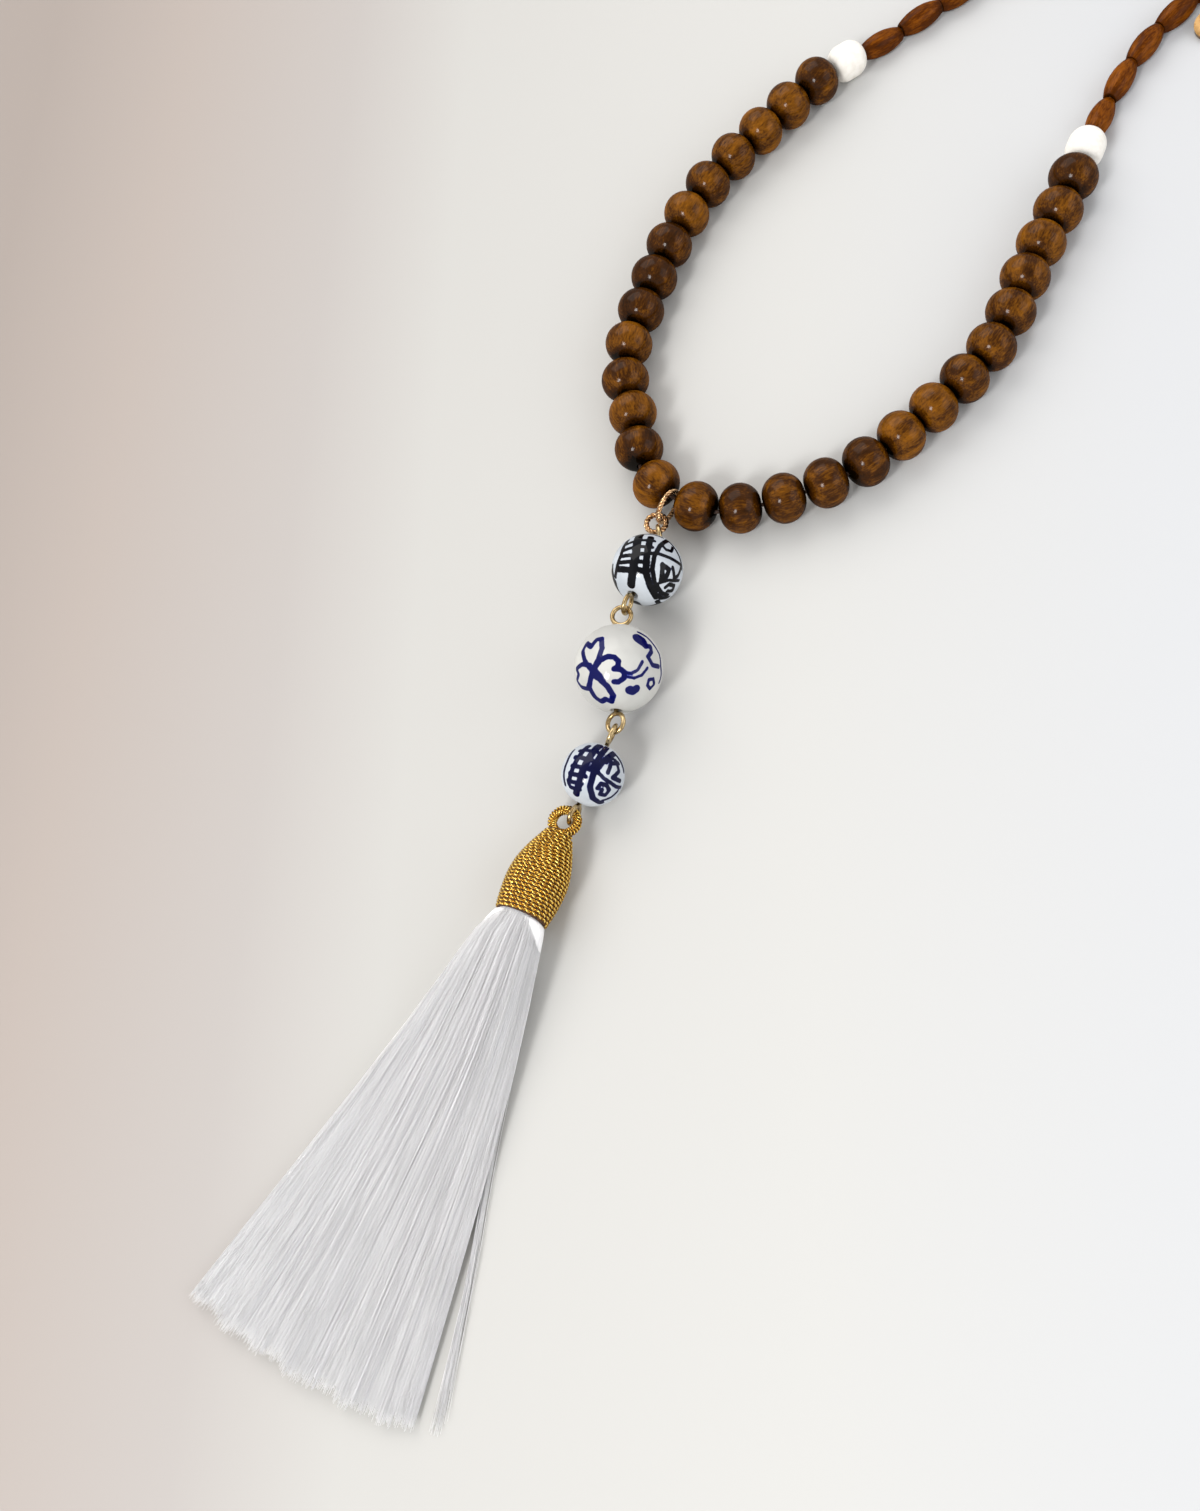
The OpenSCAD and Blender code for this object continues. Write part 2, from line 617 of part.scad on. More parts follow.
// Shape across the fan: u runs from -1 at the left edge to 1 at the right one,
// and a lock's end and its grooves follow from where u falls in it
function lock_place(u) = (1 + u) / 2 * lock_count;
function groove_at(u) = pow(abs(cos(180 * lock_place(u))), 3);
function short_at(u) =
    LOCK_SHORT[min(floor(lock_place(u)), lock_count - 1) % len(LOCK_SHORT)] + 0.012 * groove_at(u);
function fan_height(share, fall, half_thick) =
    mix(mouth_at.z + share * fringe_len * sin(head_rise), floor_gap + half_thick, fall);

// A point of the fan's skin: place u across it, on its upper (1) or lower (-1) face
function fan_point(section, u, face) =
    let (share = section[0])
    let (flat = section[2])
    let (half_thick = mix(root_r, fringe_tip_thick / 2, flat))
    let (half_w = root_r + head_wall * section[3])
    let (reach = fringe_len * share * (1 - pow(share, 3) * short_at(u)))
    let (spread = fan_half_angle * pow(max(share, 0.001), spread_power - 1))
    let (bulge = pow(max(1 - u * u, 0), mix(0.5, 0.3, flat)) * (1 - lock_groove * pow(flat, 0.7) * groove_at(u)))
    let (v = face * bulge * half_thick)
    at_height(mouth_at, fan_height(share, section[1], half_thick))
        + u * half_w * heading_dir(head_heading + 90)
        + reach * heading_dir(fan_heading + u * min(spread, 1.6 * fan_half_angle))
        + v * mix([-sin(head_rise) * cos(head_heading), -sin(head_rise) * sin(head_heading), cos(head_rise)], [0, 0, 1], flat);

// The round root that sits in the socket has the same count of points
function root_point(u, face) =
    mouth_at - (socket_depth - socket_gap) * pin_axis(head_heading, head_rise)
        + u * root_r * heading_dir(head_heading + 90)
        + face * root_r * sqrt(max(1 - u * u, 0))
            * [-sin(head_rise) * cos(head_heading), -sin(head_rise) * sin(head_heading), cos(head_rise)];

function across(j) = -cos(180 * j / lock_steps);
function even(j) = 2 * j / lock_steps - 1;
function fan_ring(section) = concat(
    [for (j = [0 : lock_steps]) fan_point(section, mix(across(j), even(j), section[2]), 1)],
    [for (j = [lock_steps - 1 : -1 : 1]) fan_point(section, mix(across(j), even(j), section[2]), -1)]
);
root_ring = concat(
    [for (j = [0 : lock_steps]) root_point(across(j), 1)],
    [for (j = [lock_steps - 1 : -1 : 1]) root_point(across(j), -1)]
);

// A cap joins each upper point to the lower one under it
function under(j) = j == 0 ? 0 : j == lock_steps ? lock_steps : 2 * lock_steps - j;
function cap_faces(start, flip) = [
    for (j = [0 : lock_steps - 1], half = [0, 1])
        let (f = half == 0
            ? [start + j, start + j + 1, start + under(j + 1)]
            : [start + j, start + under(j + 1), start + under(j)])
        if (f[0] != f[1] && f[1] != f[2] && f[2] != f[0]) flip ? [f[0], f[2], f[1]] : f
];

module fan() {
    rings = concat([root_ring], [for (section = FAN_SECTIONS) fan_ring(section)]);
    points = 2 * lock_steps;
    polyhedron(
        points = [for (ring = rings, p = ring) p],
        faces = concat(
            band_faces(len(rings), points),
            cap_faces(0, true),
            cap_faces((len(rings) - 1) * points, false)
        )
    );
}

// The loose wisp leaves the fan's right edge and tapers to its end
function wisp_ring(section) =
    let (share = section[0])
    let (half_thick = mix(root_r, fringe_tip_thick / 2, section[2]))
    let (size = wisp_thick / 2 * mix(1.3, 0.5, share))
    let (z = mix(fan_height(share, section[1], half_thick), floor_gap + size, section[1]))
    tube_ring(
        at_height(mouth_at, z)
            + (root_r + head_wall * section[3] - wisp_thick) * heading_dir(head_heading + 90)
            + fringe_len * share * heading_dir(fan_heading + fan_half_angle + wisp_angle),
        fan_heading + fan_half_angle + wisp_angle, size, size, wisp_sides);

module wisp() {
    rings = [for (i = [1 : len(FAN_SECTIONS) - 1]) wisp_ring(FAN_SECTIONS[i])];
    last = (len(rings) - 1) * wisp_sides;
    polyhedron(
        points = [for (ring = rings, p = ring) p],
        faces = concat(
            band_faces(len(rings), wisp_sides),
            [[for (j = [wisp_sides - 1 : -1 : 0]) j], [for (j = [0 : wisp_sides - 1]) last + j]]
        )
    );
}

module tassel_fringe() {
    color("#f2f1ee") union() {
        fan();
        wisp();
    }
}

module end_ring_left() {
    color("#d9b36c") translate(left_ring)
        standing_ring(end_ring_d, end_ring_wire, closure_heading);
}

module end_ring_right() {
    color("#d9b36c") translate(right_ring)
        standing_ring(end_ring_d, end_ring_wire, closure_heading);
}

module clasp() {
    reach = norm(clasp_eye - clasp_hook);
    color("#d9b36c") translate([clasp_hook.x, clasp_hook.y, clasp_hook.z - clasp_thick / 2])
        rotate([0, 0, flat_heading(clasp_hook, clasp_eye)])
        linear_extrude(clasp_thick) difference() {
            union() {
                circle(d = clasp_hook_d + 2 * clasp_rim);
                translate([reach, 0]) circle(d = clasp_eye_d + 2 * clasp_rim);
                translate([0, -clasp_eye_d / 2]) square([reach, clasp_eye_d]);
            }
            circle(d = clasp_hook_d);
            translate([reach, 0]) circle(d = clasp_eye_d);
        }
}

module chain_link() {
    leg = link_len - link_w;
    for (end = [0, 180]) rotate([0, 0, end]) translate([leg / 2, 0, 0])
        rotate([0, 0, -90]) rotate_extrude(angle = 180) translate([link_mid_w / 2, 0]) circle(d = link_wire);
    for (y = [-1, 1]) translate([0, y * link_mid_w / 2, 0]) rotate([0, 90, 0])
        cylinder(d = link_wire, h = leg, center = true);
}

module extender_chain() {
    color("#d9b36c")
        for (k = [0 : link_count - 1])
            translate(link_places[k]) rotate([0, 0, link_heading(k)]) rotate([link_roll(k), 0, 0])
                union() chain_link();
}

module end_drop() {
    color("#d9b36c") translate(drop_hole_at) rotate([0, drop_tilt, last_heading])
        translate([0, 0, -drop_thick / 2]) difference() {
            translate([drop_d / 2 - drop_rim - drop_hole_d / 2, 0, 0]) cylinder(d = drop_d, h = drop_thick);
            translate([0, 0, -drop_thick]) cylinder(d = drop_hole_d, h = 3 * drop_thick);
        }
}

// Round beads are numbered from the middle of the string: the left side first
function wood_name(n) = str("wood_bead_", n < 10 ? "0" : "", n);

for (n = [1 : wood_count]) wood_bead(1, n - 1);
for (n = [1 : wood_count]) wood_bead(-1, n - 1);
white_bead(1);  // white_bead_left
white_bead(-1);  // white_bead_right
oval_beads(1);  // oval_beads_left
oval_beads(-1);  // oval_beads_right
thread();
jump_ring_upper();
jump_ring_lower();
eye_pin_top();
porcelain_bead_top();
eye_pin_middle();
porcelain_bead_middle();
eye_pin_bottom();
porcelain_bead_bottom();
tassel_head();
tassel_fringe();
end_ring_left();
clasp();
end_ring_right();
extender_chain();
end_drop();
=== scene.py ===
"""Looks of the beaded tassel necklace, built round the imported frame."""
from __future__ import annotations

import json
import logging
import math
from abc import ABC, abstractmethod
from dataclasses import dataclass, field
from enum import Enum
from typing import Sequence

import bmesh
import bpy
import numpy as np
from mathutils import Matrix, Vector

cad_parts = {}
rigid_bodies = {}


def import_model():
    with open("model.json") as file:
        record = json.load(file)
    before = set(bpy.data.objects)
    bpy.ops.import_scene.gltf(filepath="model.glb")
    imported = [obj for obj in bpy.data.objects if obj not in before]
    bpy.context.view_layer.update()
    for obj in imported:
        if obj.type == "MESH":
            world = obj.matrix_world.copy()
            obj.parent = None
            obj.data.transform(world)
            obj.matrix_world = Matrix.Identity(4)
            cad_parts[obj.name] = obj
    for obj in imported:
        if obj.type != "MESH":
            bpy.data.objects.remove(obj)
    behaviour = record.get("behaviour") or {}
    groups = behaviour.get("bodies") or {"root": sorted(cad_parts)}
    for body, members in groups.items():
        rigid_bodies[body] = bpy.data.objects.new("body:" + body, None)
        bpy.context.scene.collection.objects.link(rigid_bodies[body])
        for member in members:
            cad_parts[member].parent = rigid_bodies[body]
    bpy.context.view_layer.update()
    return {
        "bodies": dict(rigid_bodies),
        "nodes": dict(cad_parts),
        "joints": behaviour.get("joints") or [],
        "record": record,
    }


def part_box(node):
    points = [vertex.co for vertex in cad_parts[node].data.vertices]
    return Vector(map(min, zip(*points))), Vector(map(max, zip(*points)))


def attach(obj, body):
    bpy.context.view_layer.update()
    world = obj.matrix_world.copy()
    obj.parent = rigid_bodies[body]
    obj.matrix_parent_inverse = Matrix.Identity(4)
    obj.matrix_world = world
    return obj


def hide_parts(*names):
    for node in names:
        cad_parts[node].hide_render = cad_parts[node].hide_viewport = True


LOG = logging.getLogger("necklace")
MM = 0.001
FULL_TURN = 2 * math.pi

# The photograph's viewing direction and its way down, in the part's axes
VIEWING = (-0.36539, 0.18208, -0.91287)
DOWNWARD = (0.44530, -0.82700, -0.34319)

# Width and points of a brush stroke, in shares of the bead's radius on the disc
# of its upper side: the first number runs across, the second one down
Stroke = tuple[float, Sequence[tuple[float, float]]]

# Frets in two bands, with a framed leaf beside them
FRET: Sequence[Stroke] = (
    (0.17, [(-0.21, -0.94), (-0.30, -0.46), (-0.38, 0.0), (-0.44, 0.40)]),
    (0.13, [(0.10, -0.88), (0.0, -0.46), (-0.04, 0.05), (0.08, 0.44), (0.26, 0.76)]),
    (0.10, [(-0.54, -0.80), (-0.72, -0.40), (-0.85, 0.0), (-0.88, 0.18)]),
    (0.08, [(-0.56, -0.70), (0.20, -0.78)]),
    (0.08, [(-0.66, -0.52), (0.14, -0.61)]),
    (0.08, [(-0.74, -0.36), (-0.34, -0.40)]),
    (0.08, [(-0.24, -0.42), (0.12, -0.45)]),
    (0.08, [(-0.80, -0.19), (0.0, -0.21)]),
    (0.12, [(-0.83, -0.03), (0.0, 0.03)]),
    (0.07, [(-0.37, -0.92), (0.42, -0.88)]),
    (0.09, [(0.57, -0.80), (0.36, -0.66), (0.20, -0.38), (0.14, -0.02), (0.20, 0.34), (0.38, 0.62),
            (0.56, 0.70)]),
    (0.08, [(0.57, -0.80), (0.76, -0.58), (0.90, -0.32), (0.96, -0.02)]),
    (0.07, [(0.20, -0.46), (0.52, -0.36), (0.80, -0.22), (0.95, -0.10)]),
    (0.07, [(0.42, -0.66), (0.52, -0.54), (0.66, -0.50), (0.70, -0.60)]),
    (0.10, [(0.42, -0.14), (0.38, 0.30), (0.54, 0.16), (0.60, 0.0), (0.44, -0.12)]),
    (0.08, [(0.70, -0.06), (0.74, 0.26), (0.86, 0.14), (0.92, -0.02)]),
    (0.08, [(0.50, 0.48), (0.60, 0.40), (0.74, 0.44), (0.70, 0.58), (0.56, 0.58)]),
    (0.06, [(0.32, 0.36), (0.60, 0.28), (0.88, 0.30)]),
    (0.10, [(0.16, 0.60), (0.40, 0.78), (0.58, 0.76)]),
)
# An open blossom on a stem, a leaf and two buds
BLOSSOM: Sequence[Stroke] = (
    (0.08, [(-0.60, 0.02), (-0.74, -0.18), (-0.79, -0.39), (-0.70, -0.56), (-0.60, -0.48), (-0.48, -0.64),
            (-0.37, -0.66), (-0.36, -0.44), (-0.44, -0.21), (-0.56, 0.03)]),
    (0.07, [(-0.62, -0.08), (-0.80, -0.10), (-0.93, 0.0), (-0.88, 0.12), (-0.92, 0.26), (-0.82, 0.40),
            (-0.68, 0.44), (-0.60, 0.20)]),
    (0.09, [(-0.58, 0.10), (-0.64, 0.40), (-0.52, 0.62), (-0.38, 0.72), (-0.28, 0.66), (-0.16, 0.72),
            (-0.12, 0.58), (-0.24, 0.38), (-0.42, 0.22), (-0.58, 0.10)]),
    (0.08, [(-0.54, 0.02), (-0.40, -0.18), (-0.24, -0.27), (-0.09, -0.25), (0.0, -0.16), (-0.02, -0.04),
            (-0.10, 0.0), (0.04, 0.01), (0.13, 0.08), (0.12, 0.20), (0.0, 0.28), (-0.10, 0.28)]),
    (0.07, [(-0.52, 0.0), (-0.40, 0.14), (-0.34, 0.24)]),
    (0.05, [(0.13, 0.08), (0.28, 0.10), (0.42, 0.02), (0.52, -0.16)]),
    (0.045, [(0.12, 0.16), (0.34, 0.20), (0.50, 0.14), (0.63, -0.02)]),
    (0.19, [(0.44, -0.66), (0.50, -0.62)]),
    (0.07, [(0.48, -0.58), (0.58, -0.48), (0.70, -0.50), (0.72, -0.38), (0.64, -0.26), (0.74, -0.08),
            (0.88, -0.05)]),
    (0.06, [(0.44, -0.80), (0.62, -0.70), (0.78, -0.52), (0.90, -0.32), (0.93, -0.06), (0.94, 0.16),
            (0.90, 0.30)]),
    (0.13, [(0.24, 0.46), (0.32, 0.49), (0.38, 0.44)]),
    (0.055, [(0.66, 0.24), (0.76, 0.22), (0.78, 0.34), (0.69, 0.44), (0.63, 0.36), (0.66, 0.24)]),
)
# A leaning lattice, with a framed curl beside it
LATTICE: Sequence[Stroke] = (
    (0.08, [(-0.60, -0.75), (-0.80, -0.39), (-0.90, -0.03), (-0.86, 0.30)]),
    (0.13, [(0.22, -0.90), (-0.12, -0.50), (-0.30, -0.14), (-0.42, 0.30), (-0.52, 0.60)]),
    (0.10, [(-0.13, -0.88), (-0.46, -0.50), (-0.64, -0.14), (-0.74, 0.28)]),
    (0.10, [(0.44, -0.84), (0.18, -0.50), (-0.02, -0.20)]),
    (0.08, [(-0.40, -0.74), (0.30, -0.62)]),
    (0.09, [(-0.54, -0.54), (0.10, -0.38)]),
    (0.08, [(-0.64, -0.28), (-0.10, -0.16)]),
    (0.08, [(-0.72, -0.04), (-0.22, 0.06)]),
    (0.08, [(-0.78, 0.18), (-0.34, 0.28)]),
    (0.08, [(-0.70, 0.38), (-0.40, 0.46)]),
    (0.11, [(0.66, -0.66), (0.28, -0.36), (0.02, -0.03), (-0.09, 0.37), (0.0, 0.73), (0.26, 0.88)]),
    (0.09, [(0.66, -0.66), (0.84, -0.44), (0.96, -0.10)]),
    (0.07, [(0.04, -0.18), (0.34, 0.12), (0.72, 0.38), (0.86, 0.40)]),
    (0.08, [(0.46, -0.06), (0.56, -0.34), (0.74, -0.34), (0.80, -0.10), (0.60, 0.10), (0.84, 0.20)]),
    (0.08, [(0.14, 0.42), (0.24, 0.28), (0.42, 0.32), (0.50, 0.48), (0.38, 0.64), (0.22, 0.60),
            (0.28, 0.46)]),
    (0.07, [(0.30, 0.80), (0.56, 0.70), (0.76, 0.52)]),
    (0.07, [(0.40, -0.36), (0.60, -0.50), (0.80, -0.34)]),
)


class Slot(Enum):
    """The record's material slots."""

    DARK_WOOD = "dark_wood"
    OVAL_WOOD = "oval_wood"
    WHITE_BEAD = "white_bead"
    THREAD = "thread"
    ROSE_GOLD = "rose_gold"
    ANTIQUE_GOLD = "antique_gold"
    PORCELAIN_WHITE = "porcelain_white"
    PORCELAIN_NAVY = "porcelain_navy"
    GOLD_CORD = "gold_cord"
    SILKY_WHITE = "silky_white"
    GOLD_PLATE = "gold_plate"


def linear(code: str) -> tuple[float, float, float, float]:
    """Turns an sRGB hex colour to linear RGBA.

    Args:
        code: Colour as #rrggbb.

    Returns:
        The linear colour with full alpha.
    """
    parts = [int(code[i : i + 2], 16) / 255 for i in (1, 3, 5)]
    values = [v / 12.92 if v <= 0.04045 else ((v + 0.055) / 1.055) ** 2.4 for v in parts]
    return values[0], values[1], values[2], 1.0


def add_node(
    tree: bpy.types.NodeTree, kind: str, inputs: dict | None = None,
    stops: Sequence[tuple[float, str]] = (), **settings: object,
) -> bpy.types.Node:
    """Adds a node with its settings, values and links.

    Args:
        tree: Tree that gets the node.
        kind: Blender's type name of the node.
        inputs: Socket name or index to a value, or to the socket or node that feeds it.
            A node stands for its first output.
        stops: Positions and hex colours of a colour ramp, in order.
        settings: Properties of the node itself.

    Returns:
        The new node.
    """
    node = tree.nodes.new(kind)
    for name, value in settings.items():
        setattr(node, name, value)
    for key, value in (inputs or {}).items():
        source = value.outputs[0] if isinstance(value, bpy.types.Node) else value
        if isinstance(source, bpy.types.NodeSocket):
            tree.links.new(source, node.inputs[key])
        else:
            node.inputs[key].default_value = source
    if stops:
        elements = node.color_ramp.elements
        while len(elements) < len(stops):
            elements.new(0.5)
        for element, (place, code) in zip(elements, stops):
            element.position = place
            element.color = linear(code)
    return node


def new_object(name: str, data: bpy.types.ID) -> bpy.types.Object:
    """Makes an object and links it to the scene.

    Args:
        name: Name of the object.
        data: Its mesh, light or camera.

    Returns:
        The object.
    """
    thing = bpy.data.objects.new(name, data)
    bpy.context.scene.collection.objects.link(thing)
    return thing


@dataclass(frozen=True)
class Finish(ABC):
    """What a surface is made of and how it was made."""

    name: str

    @abstractmethod
    def inputs(self, tree: bpy.types.NodeTree) -> dict:
        """Draws the finish's patterns and gives the inputs of its shader."""

    def material(self) -> bpy.types.Material:
        """Builds the material.

        Returns:
            The material, with its patterns on a Principled shader.
        """
        material = bpy.data.materials.new(self.name)
        material.use_nodes = True
        tree = material.node_tree
        tree.nodes.clear()
        shader = add_node(tree, "ShaderNodeBsdfPrincipled", self.inputs(tree))
        add_node(tree, "ShaderNodeOutputMaterial", {"Surface": shader})
        return material


@dataclass(frozen=True)
class StainedWood(Finish):
    """Turned hardwood, dipped in walnut stain and lacquered: soft gloss over short dark pores."""

    deep: str = "#0a0400"
    mid: str = "#3c1f03"
    light: str = "#83500d"
    roughness: float = 0.42
    coat: float = 0.22
    # Pores are a few tenths of a millimetre wide and several times as long
    pore_mm: float = 0.35
    pore_slimness: float = 0.22
    pore_share: float = 0.5
    # Light and dark clouds are about 3 mm wide
    clouds_per_mm: float = 0.34
    cloud_slimness: float = 0.3
    cloud_share: float = 0.62

    def inputs(self, tree: bpy.types.NodeTree) -> dict:
        """Draws pores and clouds along each bead's own axis, darker at its hole, which is painted shade where
        the beads meet.

        Args:
            tree: The material's tree.

        Returns:
            Inputs of the shader.
        """
        grain = add_node(tree, "ShaderNodeAttribute", attribute_name="grain").outputs["Vector"]
        hole_shade = add_node(tree, "ShaderNodeAttribute", attribute_name="hole_shade").outputs["Fac"]
        tone = add_node(tree, "ShaderNodeAttribute", attribute_name="tone").outputs["Fac"]
        slim = add_node(tree, "ShaderNodeMapping", {"Vector": grain, "Scale": (self.pore_slimness, 1.0, 1.0)})
        pores = add_node(tree, "ShaderNodeTexNoise", {
            "Vector": slim, "Scale": 1 / self.pore_mm, "Detail": 3.0, "Roughness": 0.6,
        })
        broad = add_node(
            tree, "ShaderNodeMapping", {"Vector": grain, "Scale": (self.cloud_slimness, 1.0, 1.0)}
        )
        clouds = add_node(tree, "ShaderNodeTexNoise", {
            "Vector": broad, "Scale": self.clouds_per_mm, "Detail": 2.0, "Roughness": 0.5, "Distortion": 0.6,
        })
        total = add_node(tree, "ShaderNodeMath", {0: clouds, 1: self.cloud_share}, operation="MULTIPLY")
        flecks = add_node(tree, "ShaderNodeMath", {0: pores, 1: self.pore_share}, operation="MULTIPLY")
        # The attribute subtracted last is painted shade, darkest at the hole where the beads meet
        for term, operation in ((flecks, "ADD"), (tone, "ADD"), (hole_shade, "SUBTRACT")):
            total = add_node(tree, "ShaderNodeMath", {0: total, 1: term}, operation=operation)
        stops = [(0.22, self.deep), (0.5, self.mid), (0.78, self.light)]
        return {
            "Base Color": add_node(tree, "ShaderNodeValToRGB", {"Fac": total}, stops),
            "Roughness": self.roughness, "Specular IOR Level": 0.0,
            "Coat Weight": self.coat, "Coat Roughness": 0.13,
            "Normal": add_node(
                tree, "ShaderNodeBump", {"Height": pores, "Strength": 0.25, "Distance": 0.05 * MM}
            ),
        }


@dataclass(frozen=True)
class PaintedWhite(Finish):
    """Turned bead in matte off-white paint: soft, slightly uneven, no gloss."""

    light: str = "#f4f0e8"
    shade: str = "#ebe6dc"
    # Uneven cover of about 1 mm, and a tooth of a quarter of one
    cover_per_mm: float = 0.9
    tooth_per_mm: float = 4.0

    def inputs(self, tree: bpy.types.NodeTree) -> dict:
        """Draws the uneven cover and the paint's tooth.

        Args:
            tree: The material's tree.

        Returns:
            Inputs of the shader.
        """
        grain = add_node(tree, "ShaderNodeAttribute", attribute_name="grain").outputs["Vector"]
        cover = add_node(
            tree, "ShaderNodeTexNoise", {"Vector": grain, "Scale": self.cover_per_mm, "Detail": 4.0}
        )
        tooth = add_node(
            tree, "ShaderNodeTexNoise", {"Vector": grain, "Scale": self.tooth_per_mm, "Detail": 3.0}
        )
        stops = [(0.35, self.shade), (0.6, self.light)]
        return {
            "Base Color": add_node(tree, "ShaderNodeValToRGB", {"Fac": cover}, stops),
            "Roughness": 0.62,
            "Normal": add_node(
                tree, "ShaderNodeBump", {"Height": tooth, "Strength": 0.15, "Distance": 0.03 * MM}
            ),
        }


@dataclass(frozen=True)
class Glaze(Finish):
    """Glazed porcelain with brushed cobalt under the glaze: glassy, with strokes that thin at their edges."""

    ground: str = "#c3c9cf"
    cloud: str = "#b4bbc2"
    ink_deep: str = "#0a0f38"
    ink_thin: str = "#24309a"
    # Patterns per metre: the brush's wobble, the pooled ink and the clouded ground
    wobble: float = 1400.0
    pools: float = 500.0
    clouds: float = 160.0
    # Millimetres by which a stroke's edge wobbles, and over which its ink deepens
    wobble_mm: float = 0.09
    pool_mm: float = 0.32

    def inputs(self, tree: bpy.types.NodeTree) -> dict:
        """Draws the ink, whose attribute is the depth inside a stroke in millimetres.

        Args:
            tree: The material's tree.

        Returns:
            Inputs of the shader.
        """
        place = add_node(tree, "ShaderNodeTexCoord").outputs["Object"]
        ink = add_node(tree, "ShaderNodeAttribute", attribute_name="ink").outputs["Fac"]
        wobble = add_node(tree, "ShaderNodeTexNoise", {"Vector": place, "Scale": self.wobble, "Detail": 2.0})
        shift = add_node(
            tree, "ShaderNodeMapRange", {"Value": wobble, "To Min": -self.wobble_mm, "To Max": self.wobble_mm}
        )
        edge = add_node(tree, "ShaderNodeMath", {0: ink, 1: shift}, operation="ADD")
        cover = add_node(
            tree, "ShaderNodeMapRange", {"Value": edge, "From Min": -0.05, "From Max": 0.06},
            interpolation_type="SMOOTHSTEP",
        )
        pool = add_node(tree, "ShaderNodeTexNoise", {"Vector": place, "Scale": self.pools, "Detail": 3.0})
        depth = add_node(
            tree, "ShaderNodeMapRange", {"Value": edge, "From Min": 0.0, "From Max": self.pool_mm}
        )
        depth = add_node(tree, "ShaderNodeMath", {0: depth, 1: pool}, operation="ADD")
        brush = add_node(
            tree, "ShaderNodeValToRGB", {"Fac": depth}, [(0.35, self.ink_thin), (0.85, self.ink_deep)]
        )
        tint = add_node(tree, "ShaderNodeTexNoise", {"Vector": place, "Scale": self.clouds, "Detail": 2.0})
        body = add_node(tree, "ShaderNodeValToRGB", {"Fac": tint}, [(0.35, self.cloud), (0.65, self.ground)])
        colour = add_node(tree, "ShaderNodeMix", {0: cover, 6: body, 7: brush}, data_type="RGBA").outputs[2]
        return {
            "Base Color": colour, "Roughness": 0.25, "Specular IOR Level": 0.0,
            "Coat Weight": 0.35, "Coat Roughness": 0.03,
        }


@dataclass(frozen=True)
class PlatedWire(Finish):
    """Plated brass wire or stamping: bright, with fine wear marks in its roughness."""

    bright: str
    dull: str
    roughness: float = 0.22
    # Wear marks per metre, and how far they lower and raise the roughness
    wear: float = 700.0
    polished: float = 0.06
    worn: float = 0.12

    def inputs(self, tree: bpy.types.NodeTree) -> dict:
        """Draws the wear marks.

        Args:
            tree: The material's tree.

        Returns:
            Inputs of the shader.
        """
        place = add_node(tree, "ShaderNodeTexCoord").outputs["Object"]
        wear = add_node(tree, "ShaderNodeTexNoise", {"Vector": place, "Scale": self.wear, "Detail": 4.0})
        return {
            "Base Color": add_node(
                tree, "ShaderNodeValToRGB", {"Fac": wear}, [(0.35, self.dull), (0.6, self.bright)]
            ),
            "Metallic": 1.0,
            "Roughness": add_node(tree, "ShaderNodeMapRange", {
                "Value": wear, "To Min": self.roughness - self.polished, "To Max": self.roughness + self.worn,
            }),
        }


@dataclass(frozen=True)
class MetallicThread(Finish):
    """Metallised embroidery thread: foil round a yarn, with fine crinkles that sparkle."""

    bright: str = "#ffe07c"
    dull: str = "#d8a53c"
    # Crinkles of the foil per metre
    crinkles: float = 4200.0

    def inputs(self, tree: bpy.types.NodeTree) -> dict:
        """Draws the crinkled foil.

        Args:
            tree: The material's tree.

        Returns:
            Inputs of the shader.
        """
        place = add_node(tree, "ShaderNodeTexCoord").outputs["Object"]
        foil = add_node(tree, "ShaderNodeTexNoise", {"Vector": place, "Scale": self.crinkles, "Detail": 2.0})
        return {
            "Base Color": add_node(
                tree, "ShaderNodeValToRGB", {"Fac": foil}, [(0.34, self.dull), (0.6, self.bright)]
            ),
            "Metallic": 1.0, "Roughness": 0.22,
            "Normal": add_node(
                tree, "ShaderNodeBump", {"Height": foil, "Strength": 0.35, "Distance": 0.06 * MM}
            ),
        }


@dataclass(frozen=True)
class PlainYarn(Finish):
    """Waxed cotton or a wound yarn core: matte, twisted in fine lines."""

    light: str = "#4a2c16"
    deep: str = "#241208"
    # Fibres per metre
    fibres: float = 2200.0

    def inputs(self, tree: bpy.types.NodeTree) -> dict:
        """Draws the fibres.

        Args:
            tree: The material's tree.

        Returns:
            Inputs of the shader.
        """
        place = add_node(tree, "ShaderNodeTexCoord").outputs["Object"]
        noise = add_node(tree, "ShaderNodeTexNoise", {"Vector": place, "Scale": self.fibres, "Detail": 3.0})
        return {
            "Base Color": add_node(
                tree, "ShaderNodeValToRGB", {"Fac": noise}, [(0.38, self.deep), (0.62, self.light)]
            ),
            "Roughness": 0.7,
            "Normal": add_node(
                tree, "ShaderNodeBump", {"Height": noise, "Strength": 0.5, "Distance": 0.1 * MM}
            ),
        }


